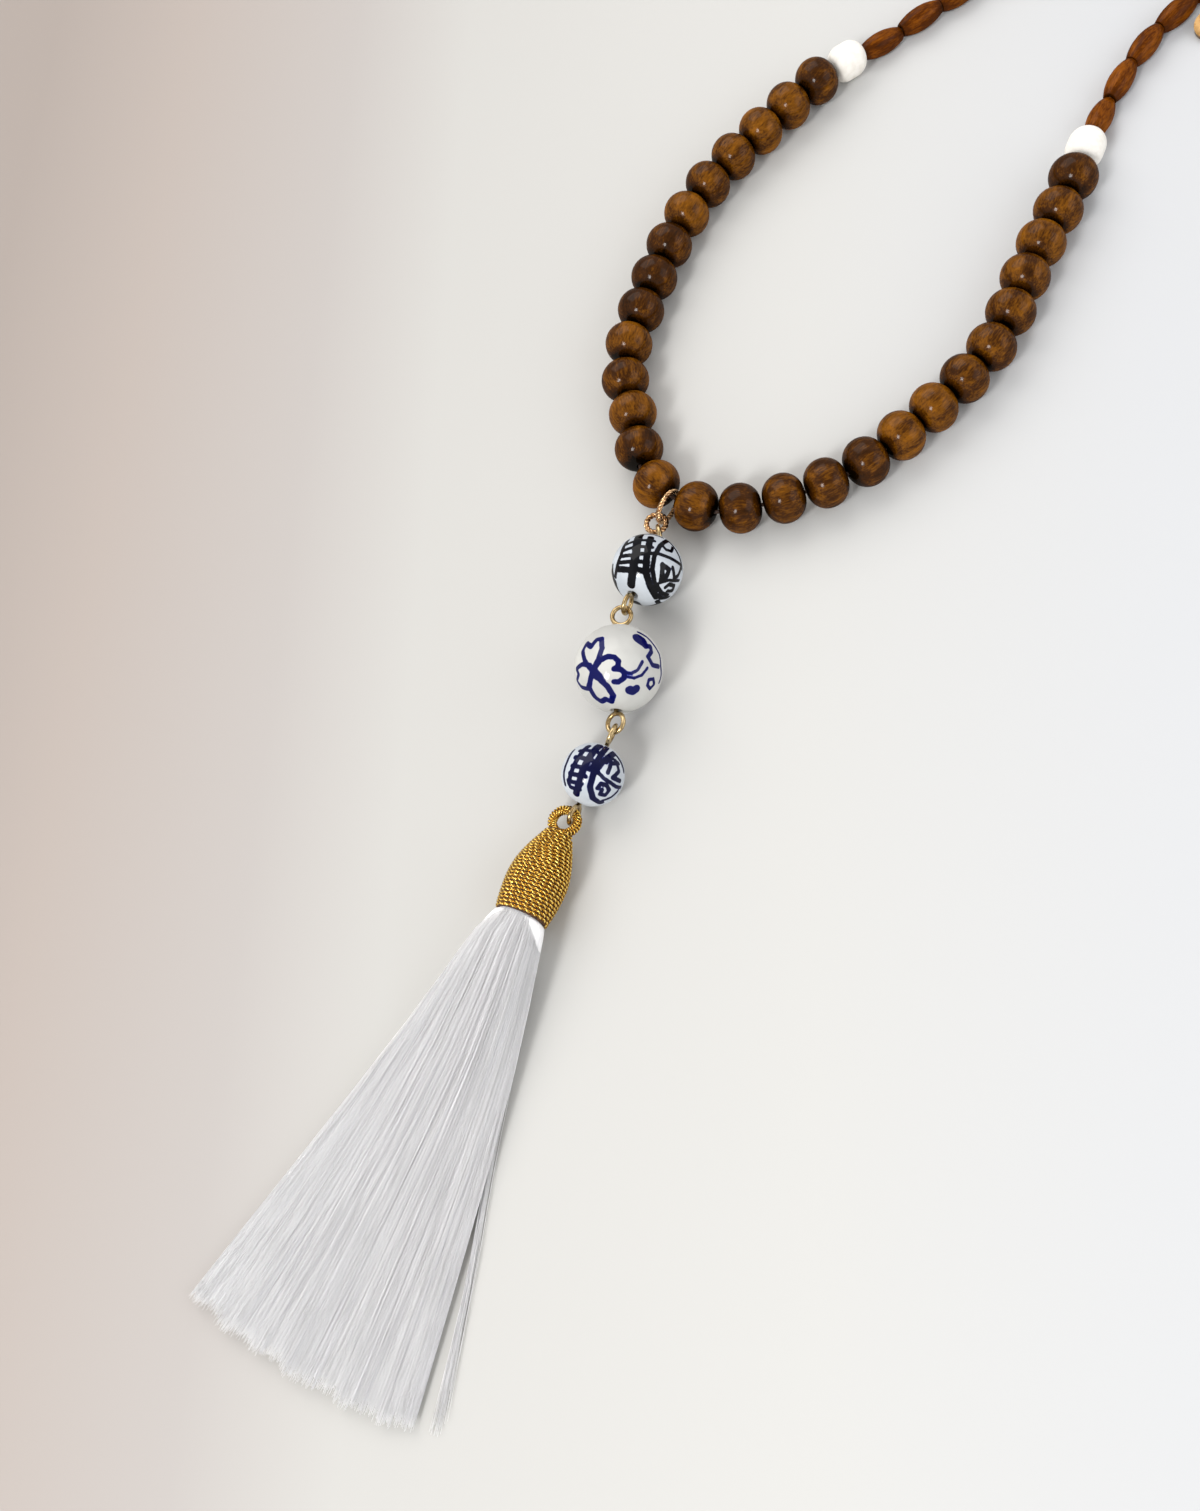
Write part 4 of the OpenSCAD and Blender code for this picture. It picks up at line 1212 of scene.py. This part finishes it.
@dataclass
class WireWork:
    """Jump rings, eye pins, thread and the closing pieces."""

    frame: dict
    rose: Finish = PlatedWire("rose_gold_wire", "#d8b184", "#8c6a46", 0.18)
    antique: Finish = PlatedWire("antique_gold_wire", "#cdb587", "#7f6843", 0.22)
    plate: Finish = PlatedWire("gold_plated_brass", "#a9875a", "#7a5e38", 0.24)
    thread: Finish = PlainYarn("waxed_thread")
    upper_ring_d: float = 7.6
    lower_ring_d: float = 5.0
    ring_wire: float = 1.0
    ring_strands: int = 3
    strand_sides: int = 8
    # Length of a full twist, and radius and offset of a strand as shares of the
    # wire and of that radius
    ring_twist: float = 2.4
    strand_share: float = 0.27
    offset_share: float = 1.14
    ring_points: int = 150
    # A direction near the ring's plane, from which its points are counted
    ring_start: tuple[float, float, float] = (0.3, 0.9, 0.2)

    def twisted_ring(self, node: str, outer_d: float, material: bpy.types.Material) -> None:
        """Twists a jump ring from strands over its CAD ring.

        Args:
            node: The CAD ring.
            outer_d: Its outer diameter.
            material: The rose gold.
        """
        centre, normal = CadNode(self.frame["nodes"][node]).turned_poses()[0]
        mid = (outer_d - self.ring_wire) / 2
        axes = basis(normal, self.ring_start)
        angle = FULL_TURN * np.arange(self.ring_points) / self.ring_points
        path = centre + mid * (np.cos(angle)[:, None] * axes[1] + np.sin(angle)[:, None] * axes[2])
        round_length = FULL_TURN * mid
        radius = self.ring_wire * self.strand_share
        sizes = {
            "Twist length": round_length / round(round_length / self.ring_twist) * MM,
            "Strand offset": radius * self.offset_share * MM,
            "Strand radius": radius * MM,
        }
        tree = NodeTreeKit.twisted_cord(self.ring_strands, self.strand_sides)
        piece = NodeTreeKit.grown(f"twisted_{node}", [path], tree, sizes, material, closed=True)
        finish_piece(piece, Slot.ROSE_GOLD, node)

    def build(self) -> None:
        """Builds the rings and smooth copies of the exact metal solids and the thread."""
        rose = self.rose.material()
        self.twisted_ring("jump_ring_upper", self.upper_ring_d, rose)
        self.twisted_ring("jump_ring_lower", self.lower_ring_d, rose)
        copies = (
            (self.antique, Slot.ANTIQUE_GOLD, ("eye_pin_top", "eye_pin_middle", "eye_pin_bottom")),
            (self.plate, Slot.GOLD_PLATE,
             ("end_ring_left", "end_ring_right", "clasp", "extender_chain", "end_drop")),
            (self.thread, Slot.THREAD, ("thread",)),
        )
        for finish, slot, nodes in copies:
            material = finish.material()
            for node in nodes:
                piece = CadNode(self.frame["nodes"][node]).smooth_copy(f"{node}_finished", material)
                finish_piece(piece, slot, node)


@dataclass
class TasselHead:
    """The head, wound in two twisted threads, a bright gold one and a darker copy of it that is painted shade
    between the glints, with its wrapped cord loop.
    """

    bright: Finish = MetallicThread("gold_metallic_thread")
    # The dull thread is the gold thread painted darker: painted shade in the hollows of the twist
    dull: Finish = MetallicThread("shaded_metallic_thread", bright="#bd8a2c", dull="#744c12")
    # The core yarn is dark brown as painted shade in the gaps between the threads
    yarn: Finish = PlainYarn("head_core_yarn", light="#5a3408", deep="#2a1604")
    # Middle of the cord loop where the part's source lays it, and how the head
    # lies below it
    loop_at: tuple[float, float, float] = (9.444, -87.339, 4.617)
    heading: float = -79.5
    rise: float = 5.77
    length: float = 17.5
    top_d: float = 5.4
    wide_d: float = 11.8
    mouth_d: float = 10.4
    widest_at: float = 0.62
    wall: float = 0.9
    socket_depth: float = 6.0
    loop_cord: float = 1.8
    loop_hole_d: float = 3.0
    row_pitch: float = 0.7
    row_points: int = 132
    # The last row ends a little above the mouth
    wound_share: float = 0.985
    wraps: int = 30
    wrap_points: int = 26
    # The two threads twist round each other: length of a twist, distance from
    # their middle on the head and on the loop, and thread radii
    twist: float = 1.45
    head_offset: float = 0.17
    loop_offset: float = 0.14
    bright_r: float = 0.17
    shaded_thread_r: float = 0.15
    # Threads on the loop are pulled thinner by this much
    loop_thinner: float = 0.02
    # How far the cores lie below the threads: head, wraps of the loop, its core
    core_depth: float = 0.38
    wrap_depth: float = 0.2
    loop_core_depth: float = 0.06
    # Play between the core and the fringe in its socket, and the pin hole that
    # keeps the core's profile off the axis
    socket_play: float = 0.02
    pin_hole_r: float = 0.05

    @property
    def loop_r(self) -> float:
        """Gives the radius of the loop's middle line."""
        return (self.loop_hole_d + self.loop_cord) / 2

    @property
    def axes(self) -> np.ndarray:
        """Gives the head's axes: along it, across it and out of its upper side."""
        return basis(towards(self.heading, self.rise))

    @property
    def start(self) -> np.ndarray:
        """Gives the point where the head leaves its loop."""
        return self.loop_at + self.loop_r * self.axes[0]

    @property
    def mouth(self) -> np.ndarray:
        """Gives the middle of the head's mouth."""
        return self.start + self.length * self.axes[0]

    def radius(self, t: np.ndarray) -> np.ndarray:
        """Gives the head's radius at a share of its length.

        Args:
            t: Shares from the loop to the mouth.

        Returns:
            Radii in millimetres.
        """
        shoulder = np.sin(math.pi / 2 * np.clip(t / self.widest_at, 0, 1)) ** 1.05
        draw_in = np.clip((t - self.widest_at) / (1 - self.widest_at), 0, 1) ** 2
        near = self.top_d + (self.wide_d - self.top_d) * shoulder
        far = self.wide_d + (self.mouth_d - self.wide_d) * draw_in
        return np.where(t < self.widest_at, near, far) / 2

    def winding_path(self) -> np.ndarray:
        """Lays the rows of the winding round the head.

        Returns:
            Points of the path in millimetres.
        """
        rows = round(self.length / self.row_pitch)
        turn = np.arange(rows * self.row_points) / self.row_points
        t = np.clip((turn + 0.5) / rows, 0, 1)
        radius = self.radius(t) - self.row_pitch / 2
        angle = FULL_TURN * turn
        own = [t * self.length * self.wound_share, radius * np.cos(angle), radius * np.sin(angle)]
        return self.start + np.stack(own, axis=1) @ self.axes

    def loop_path(self, around: np.ndarray, spin: np.ndarray, tube: float) -> np.ndarray:
        """Lays points round the loop's cord.

        Args:
            around: Angles round the loop.
            spin: Angles round its cord.
            tube: Distance from the cord's middle line.

        Returns:
            The points in millimetres.
        """
        out = self.loop_r + tube * np.cos(spin)
        own = [out * np.cos(around), out * np.sin(around), tube * np.sin(spin)]
        return self.loop_at + np.stack(own, axis=1) @ self.axes

    def core(self, material: bpy.types.Material) -> None:
        """Builds the core yarn that shows between the threads, with the socket of the fringe: its dark brown
        is painted shade in the gaps between the threads.

        Args:
            material: The brown yarn.
        """
        t = np.linspace(0, 1, 40)
        outer = list(zip(self.radius(t) - self.core_depth, t * self.length))
        socket_r = self.mouth_d / 2 - self.wall + self.socket_play
        floor = self.length - self.socket_depth
        inner = [(socket_r, self.length), (socket_r, floor), (self.pin_hole_r, floor)]
        profile = [(self.pin_hole_r, 0.0)] + outer + inner
        piece = revolved(profile, 64).placed(self.start, self.axes).mesh_object("head_core", material)
        finish_piece(piece, Slot.GOLD_CORD)

    def loop_core(self, material: bpy.types.Material, tube: float) -> None:
        """Builds the core of the loop, dark brown as painted shade between its wraps.

        Args:
            material: The brown yarn.
            tube: Its radius.
        """
        rows, sides = 60, 14
        around = np.repeat(FULL_TURN * np.arange(rows) / rows, sides)
        spin = np.tile(FULL_TURN * np.arange(sides) / sides, rows)
        skin = Skin(self.loop_path(around, spin, tube), grid_faces(rows, sides))
        finish_piece(skin.mesh_object("head_loop_core", material), Slot.GOLD_CORD)

    def build(self) -> None:
        """Builds the winding, the cores and the wrapped loop."""
        bright, dull, yarn = (finish.material() for finish in (self.bright, self.dull, self.yarn))
        threads = (
            ("bright", bright, NodeTreeKit.twisted_cord(1, 6), self.bright_r),
            # Painted shade: the same gold thread, darker, twisted half a turn behind the bright one
            ("dark", dull, NodeTreeKit.twisted_cord(1, 6, 0.5), self.shaded_thread_r),
        )
        path = self.winding_path()
        for kind, material, tree, radius in threads:
            sizes = {
                "Twist length": self.twist * MM, "Strand offset": self.head_offset * MM,
                "Strand radius": radius * MM,
            }
            winding = NodeTreeKit.grown(f"head_winding_{kind}", [path], tree, sizes, material)
            finish_piece(winding, Slot.GOLD_CORD, *(["tassel_head"] if kind == "bright" else []))
        self.core(yarn)
        wrap = np.arange(self.wraps * self.wrap_points) / self.wrap_points
        tube = self.loop_cord / 2 - self.wrap_depth
        path = self.loop_path(FULL_TURN * wrap / self.wraps, FULL_TURN * wrap, tube)
        for kind, material, tree, radius in threads:
            sizes = {
                "Twist length": self.twist * MM, "Strand offset": self.loop_offset * MM,
                "Strand radius": (radius - self.loop_thinner) * MM,
            }
            loop = NodeTreeKit.grown(f"head_loop_{kind}", [path], tree, sizes, material, closed=True)
            finish_piece(loop, Slot.GOLD_CORD)
        self.loop_core(yarn, tube - self.loop_core_depth)


@dataclass
class Fringe:
    """The fan of filaments under the head, laid as the part's source lays it."""

    head: TasselHead
    silk: Finish = ViscoseSilk("viscose_fan")
    strand: Finish = ViscoseSilk("viscose_filament", shade="#f0f0f2")
    heading: float = -85.0
    length: float = 87.0
    width: float = 48.0
    tip_thick: float = 2.4
    socket_gap: float = 0.15
    floor_gap: float = 0.05
    lock_count: int = 13
    # Depth of a groove between locks as a share of the thickness, and how fast
    # it grows as the fan flattens
    groove: float = 0.07
    groove_growth: float = 0.7
    # Roundness of the bundle at the mouth and of the flat fan
    round_power: float = 0.5
    flat_power: float = 0.3
    # The fan opens fastest near the mouth, up to this many times its tip's angle
    opening_power: float = -0.1
    opening_most: float = 1.6
    # Share of the length, of the drop to the surface, of the way from round
    # bundle to flat fan, and of the swell over the mouth's wall
    sections: Sequence[tuple[float, float, float, float]] = (
        (0.000, 0.00, 0.00, 0.10),
        (0.006, 0.01, 0.01, 0.80),
        (0.025, 0.08, 0.04, 0.95),
        (0.080, 0.32, 0.14, 1.00),
        (0.170, 0.68, 0.34, 1.00),
        (0.300, 0.93, 0.56, 1.00),
        (0.480, 1.00, 0.76, 1.00),
        (0.720, 1.00, 0.92, 1.00),
        (0.900, 1.00, 0.98, 1.00),
        (1.000, 1.00, 1.00, 1.00),
    )
    # Lock ends stop short of the full length by these shares, in turn
    lock_short: Sequence[float] = (0.010, 0.018, 0.006, 0.014, 0.009, 0.016, 0.005)
    groove_short: float = 0.003
    body_columns: int = 521
    # Strands stand out of the body's skin, and end unevenly, by these shares
    relief: float = 0.045
    ragged: tuple[float, float] = (0.006, 0.004)
    # The loose wisp: extra angle, radii at the mouth and the tip, rise over the
    # surface, inset from the fan's edge, and height that no filament goes below
    wisp_angle: float = 3.6
    wisp_r: tuple[float, float] = (0.96, 0.4)
    wisp_rise: float = 0.09
    wisp_inset: float = 1.6
    wisp_lowest: float = 0.12
    # How widely its filaments lie, across and in height, how many degrees they
    # fray at the tip, and how unevenly they end
    wisp_scatter: tuple[float, float] = (0.42, 0.7)
    wisp_fray: float = 0.36
    wisp_uneven: float = 0.05
    # Filament ends past or short of their lock, as shares: spread, middle, least
    strand_end: tuple[float, float, float] = (0.007, -0.006, -0.02)
    # How far a filament drifts across the fan, and swings on its way
    drift: float = 0.012
    swing: float = 0.01
    filament_tip: float = 0.7
    body_seed: int = 77
    wisp_seed: int = 5

    @property
    def root_r(self) -> float:
        """Gives the bundle's radius in the socket."""
        return self.head.mouth_d / 2 - self.head.wall - self.socket_gap

    @property
    def half_angle(self) -> float:
        """Gives half the angle that the fan opens to, in degrees."""
        return math.degrees(math.asin((self.width - 2 * (self.root_r + self.head.wall)) / 2 / self.length))

    def section(self, share: np.ndarray) -> np.ndarray:
        """Gives the drop, the flatness and the swell at a share of the length, as rows."""
        table = np.array(self.sections).T
        return np.array([np.interp(share, table[0], column) for column in table[1:]])

    def lock_groove(self, u: np.ndarray) -> np.ndarray:
        """Gives 1 in the groove between two locks, and 0 on a lock."""
        return np.abs(np.cos(math.pi * (1 + u) / 2 * self.lock_count)) ** 3

    def column_short(self, u: np.ndarray) -> np.ndarray:
        """Gives the share by which a lock stops short at a place across."""
        lock = np.minimum(((1 + u) / 2 * self.lock_count).astype(int), self.lock_count - 1)
        return np.take(self.lock_short, lock, mode="wrap") + self.groove_short * self.lock_groove(u)

    def half_thickness(self, flat: np.ndarray) -> np.ndarray:
        """Gives half the bundle's thickness at a flatness."""
        return self.root_r + (self.tip_thick / 2 - self.root_r) * flat

    def middle_height(self, share: np.ndarray, drop: np.ndarray, half: np.ndarray) -> np.ndarray:
        """Gives the height of the fan's middle, which comes down from the mouth to the surface.

        Args:
            share: Share of the length from the mouth.
            drop: Share of the drop to the surface.
            half: Half the thickness.

        Returns:
            Heights in millimetres.
        """
        straight = self.head.mouth[2] + share * self.length * math.sin(math.radians(self.head.rise))
        return straight + (self.floor_gap + half - straight) * drop

    def laid(
        self, height: np.ndarray, side: np.ndarray, reach: np.ndarray, degrees: np.ndarray
    ) -> np.ndarray:
        """Lays points out from the head's mouth.

        Args:
            height: Heights over the surface.
            side: Offsets across the mouth.
            reach: Distances from it along the heading.
            degrees: Headings of the points.

        Returns:
            Points in millimetres.
        """
        mouth = self.head.mouth
        angle = np.radians(degrees)
        base = np.stack([np.full_like(height, mouth[0]), np.full_like(height, mouth[1]), height], axis=1)
        ahead = np.stack([np.cos(angle), np.sin(angle), np.zeros_like(angle)], axis=1)
        return base + side[:, None] * towards(self.head.heading + 90) + reach[:, None] * ahead

    def fan_point(self, share: np.ndarray, u: np.ndarray, lift: np.ndarray, short: np.ndarray) -> np.ndarray:
        """Gives points of the fan.

        Args:
            share: Share of the length from the mouth.
            u: Place across, from -1 to 1.
            lift: 1 on the upper skin, -1 on the lower one, more for a strand that stands proud.
            short: Share by which this column stops short.

        Returns:
            Points in millimetres.
        """
        drop, flat, swell = self.section(share)
        half = self.half_thickness(flat)
        wide = self.root_r + self.head.wall * swell
        reach = self.length * share * (1 - share**3 * short)
        opening = np.minimum(np.maximum(share, 0.001) ** self.opening_power, self.opening_most)
        power = self.round_power + (self.flat_power - self.round_power) * flat
        grooved = 1 - self.groove * flat**self.groove_growth * self.lock_groove(u)
        bulge = np.maximum(1 - u * u, 0) ** power * grooved
        up = (1 - flat)[:, None] * self.head.axes[2] + flat[:, None] * np.array([0.0, 0.0, 1.0])
        height = self.middle_height(share, drop, half)
        middle = self.laid(height, u * wide, reach, self.heading + u * self.half_angle * opening)
        return middle + (lift * bulge * half)[:, None] * up

    def body(self, material: bpy.types.Material) -> None:
        """Builds the dense fan of locks with a strand relief and a ragged cut end.

        Args:
            material: The silk.
        """
        rng = np.random.default_rng(self.body_seed)
        columns = self.body_columns
        even = np.linspace(-1, 1, columns)
        round_u = -np.cos(np.linspace(0, math.pi, columns))
        relief = rng.normal(0, self.relief, columns)
        ragged = np.abs(rng.normal(0, self.ragged[0], columns)) + self.ragged[1] * rng.random(columns)
        # Rows lie closer where the bundle swells out of the mouth
        share = np.concatenate([
            [0.0, 0.006, 0.014], np.linspace(0.025, 0.3, 13)[:-1], np.linspace(0.3, 1, 19),
        ])
        along, across, out = self.head.axes
        root = self.head.mouth - (self.head.socket_depth - self.socket_gap) * along
        points, lie = [], []
        for row in range(-1, len(share)):
            s = np.full(columns, share[max(row, 0)])
            u = round_u + (even - round_u) * self.section(s)[1]
            for face in (1.0, -1.0):
                if row < 0:
                    place = (
                        root + (u * self.root_r)[:, None] * across
                        + (face * self.root_r * np.sqrt(np.maximum(1 - u * u, 0)))[:, None] * out
                    )
                else:
                    # Only the upper side has the relief, which grows over a sixth of the length
                    proud = 1 + relief * np.clip(s * 6, 0, 1) * (face > 0)
                    place = self.fan_point(s, u, face * proud, self.column_short(u) + ragged)
                order = slice(None) if face > 0 else slice(columns - 2, 0, -1)
                points.append(place[order])
                lie.append(np.stack([u * 0.5, s, np.zeros(columns)], axis=1)[order])
        ring = 2 * columns - 2
        count = len(share) + 1
        faces = grid_faces(count, ring, False)
        # Both ends are closed by quads from the upper side to the lower one
        for start in (0, (count - 1) * ring):
            for j in range(columns - 1):
                quad = [start + j, start + j + 1, start + (ring - j - 1) % ring, start + (ring - j) % ring]
                faces.append(list(dict.fromkeys(quad)))
        skin = Skin(np.vstack(points), faces, {"lie": np.vstack(lie)})
        finish_piece(skin.mesh_object("fringe_body", material), Slot.SILKY_WHITE, "tassel_fringe")

    def filament_paths(self, count: int, seed: int, proud: tuple[float, float]) -> tuple[list, list]:
        """Lays loose filaments over the fan.

        Args:
            count: How many.
            seed: Seed of their places.
            proud: Least and most height over the fan's own skin, as shares of its half thickness.

        Returns:
            The paths, and the attribute lie of each.
        """
        rng = np.random.default_rng(seed)
        spread, middle, least = self.strand_end
        s = np.concatenate([np.linspace(0.0, 0.3, 6)[:-1], np.linspace(0.3, 1.0, 9)])
        flat = self.section(s)[1]
        paths, lies = [], []
        for _ in range(count):
            start = rng.uniform(-1.0, 1.0) * 0.995
            drift = rng.normal(0, self.drift)
            swing = rng.normal(0, self.swing) * np.sin(s * rng.uniform(2, 7) + rng.uniform(0, 6))
            u = start + (drift + swing) * s
            # The places are crowded to the sides where the bundle is round
            u_round = np.sin(u * math.pi / 2)
            # A filament stands proud from a few hundredths of the length on
            lift = 1 + rng.uniform(*proud) * np.clip(s * 25, 0.1, 1)
            end = max(rng.normal(0.0, spread) + middle, least)
            short = np.full_like(s, end + self.column_short(np.array([start]))[0])
            paths.append(self.fan_point(s, np.clip(u_round + (u - u_round) * flat, -1, 1), lift, short))
            lies.append(np.stack([np.full_like(s, start * 0.5), s, np.zeros_like(s)], axis=1))
        return paths, lies

    def wisp_paths(self, count: int) -> tuple[list, list]:
        """Lays the filaments of the loose wisp beside the fan.

        Args:
            count: How many.

        Returns:
            The paths, and the attribute lie of each.
        """
        rng = np.random.default_rng(self.wisp_seed)
        s = np.concatenate([np.linspace(0.02, 0.3, 6)[:-1], np.linspace(0.3, 1.0, 10)])
        drop, flat, swell = self.section(s)
        size = self.wisp_r[0] + (self.wisp_r[1] - self.wisp_r[0]) * s
        lay = self.middle_height(s, drop, self.half_thickness(flat))
        lay = lay + (self.wisp_rise + size - lay) * drop
        edge = self.root_r + self.head.wall * swell - self.wisp_inset
        turn = self.heading + self.half_angle + self.wisp_angle * np.clip(s * 1.4, 0.4, 1)
        wide, high = self.wisp_scatter
        paths, lies = [], []
        for _ in range(count):
            across, over = rng.normal(0, wide, 2)
            fray = rng.normal(0, self.wisp_fray) * s**2.2
            reach = self.length * s * (1 - self.wisp_uneven * abs(rng.normal()))
            height = np.maximum(lay + over * size * high, self.wisp_lowest)
            paths.append(self.laid(height, edge + across * size, reach, turn + fray))
            lies.append(np.stack([np.full_like(s, 0.5 + across * 0.02), s, np.zeros_like(s)], axis=1))
        return paths, lies

    def build(self) -> None:
        """Builds the fan, its single filaments and the loose wisp."""
        self.body(self.silk.material())
        strand = self.strand.material()
        tree = NodeTreeKit.filaments()
        plans = (
            ("fringe_filaments", self.filament_paths(1500, 11, (0.0, 0.14)), 0.055),
            ("fringe_loose", self.filament_paths(320, 12, (0.1, 0.4)), 0.045),
            ("fringe_wisp", self.wisp_paths(70), 0.06),
        )
        for name, (paths, lies), radius in plans:
            sizes = {"Filament radius": radius * MM, "Tip share": self.filament_tip}
            finish_piece(NodeTreeKit.grown(name, paths, tree, sizes, strand, lies=lies), Slot.SILKY_WHITE)


@dataclass(frozen=True)
class SoftLight:
    """A rectangular light that looks at the necklace."""

    name: str
    direction: tuple[float, float, float]
    distance: float
    size: tuple[float, float]
    power: float
    colour: str
    target: tuple[float, float, float] = (0.0, -0.05, 0.0)

    def build(self) -> None:
        """Hangs the light, in metres and watts."""
        data = bpy.data.lights.new(self.name, "AREA")
        data.shape = "RECTANGLE"
        data.size, data.size_y = self.size
        data.energy = self.power
        data.color = linear(self.colour)[:3]
        lamp = new_object(self.name, data)
        way = Vector(self.direction).normalized()
        lamp.location = Vector(self.target) + way * self.distance
        lamp.rotation_euler = way.to_track_quat("Z", "Y").to_euler()


@dataclass
class Studio:
    """Floor, lights, pale room and camera."""

    # Place of the camera in metres, with its lens on a 36 mm sensor
    location: tuple[float, float, float] = (0.10503, -0.12125, 0.24657)
    lens: float = 33.355
    floor_reach: float = 4.0
    room_strength: float = 2.15
    # Tones of the room from the horizon to behind the camera
    room: Sequence[tuple[float, str]] = ((0.1, "#9c9c9e"), (0.55, "#bdbcbc"), (0.9, "#8c8a89"))
    lights: tuple[SoftLight, ...] = (
        SoftLight("window", (0.03, -0.71, 0.70), 1.2, (0.24, 0.32), 8.0, "#ffffff"),
        SoftLight("upper_left_soft", (-0.58, 0.36, 0.70), 1.6, (1.5, 1.2), 12.0, "#fffaf5"),
        SoftLight("right_soft", (0.76, 0.30, 0.56), 1.9, (1.5, 1.1), 7.0, "#f2f7ff"),
    )

    def camera(self) -> None:
        """Sets the camera at the photograph's place."""
        data = bpy.data.cameras.new("camera")
        data.lens = self.lens
        data.sensor_width = 36.0
        data.clip_start = 0.01
        data.clip_end = 20.0
        ahead = Vector(VIEWING).normalized()
        up = -Vector(DOWNWARD)
        up = (up - up.dot(ahead) * ahead).normalized()
        turn = Matrix((ahead.cross(up), up, -ahead)).transposed().to_4x4()
        camera = new_object("camera", data)
        camera.matrix_world = Matrix.Translation(self.location) @ turn
        bpy.context.scene.camera = camera

    def floor(self) -> None:
        """Lays the pale floor."""
        far = self.floor_reach
        mesh = bpy.data.meshes.new("floor")
        mesh.from_pydata([(-far, -far, 0), (far, -far, 0), (far, far, 0), (-far, far, 0)], [], [(0, 1, 2, 3)])
        mesh.materials.append(MatteCard("matte_white_card").material())
        new_object("floor", mesh)

    def surroundings(self) -> None:
        """Sets the pale room, darker behind the camera."""
        world = bpy.data.worlds.new("room")
        world.use_nodes = True
        tree = world.node_tree
        tree.nodes.clear()
        way = add_node(tree, "ShaderNodeTexCoord").outputs["Generated"]
        behind = tuple(-v for v in VIEWING)
        lean = add_node(tree, "ShaderNodeVectorMath", {0: way, 1: behind}, operation="DOT_PRODUCT")
        colour = add_node(tree, "ShaderNodeValToRGB", {"Fac": lean.outputs["Value"]}, self.room)
        back = add_node(tree, "ShaderNodeBackground", {"Color": colour, "Strength": self.room_strength})
        add_node(tree, "ShaderNodeOutputWorld", {"Surface": back})
        bpy.context.scene.world = world

    def build(self) -> None:
        """Builds the studio."""
        self.camera()
        self.floor()
        for light in self.lights:
            light.build()
        self.surroundings()
        bpy.context.scene.view_settings.view_transform = "Standard"


def main() -> None:
    """Builds the necklace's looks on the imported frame."""
    logging.basicConfig(level=logging.INFO, format="%(message)s")
    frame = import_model()
    Studio().build()
    BeadString(frame).build()
    PorcelainRow(frame).build()
    WireWork(frame).build()
    head = TasselHead()
    head.build()
    Fringe(head).build()


if __name__ == "__main__":
    main()
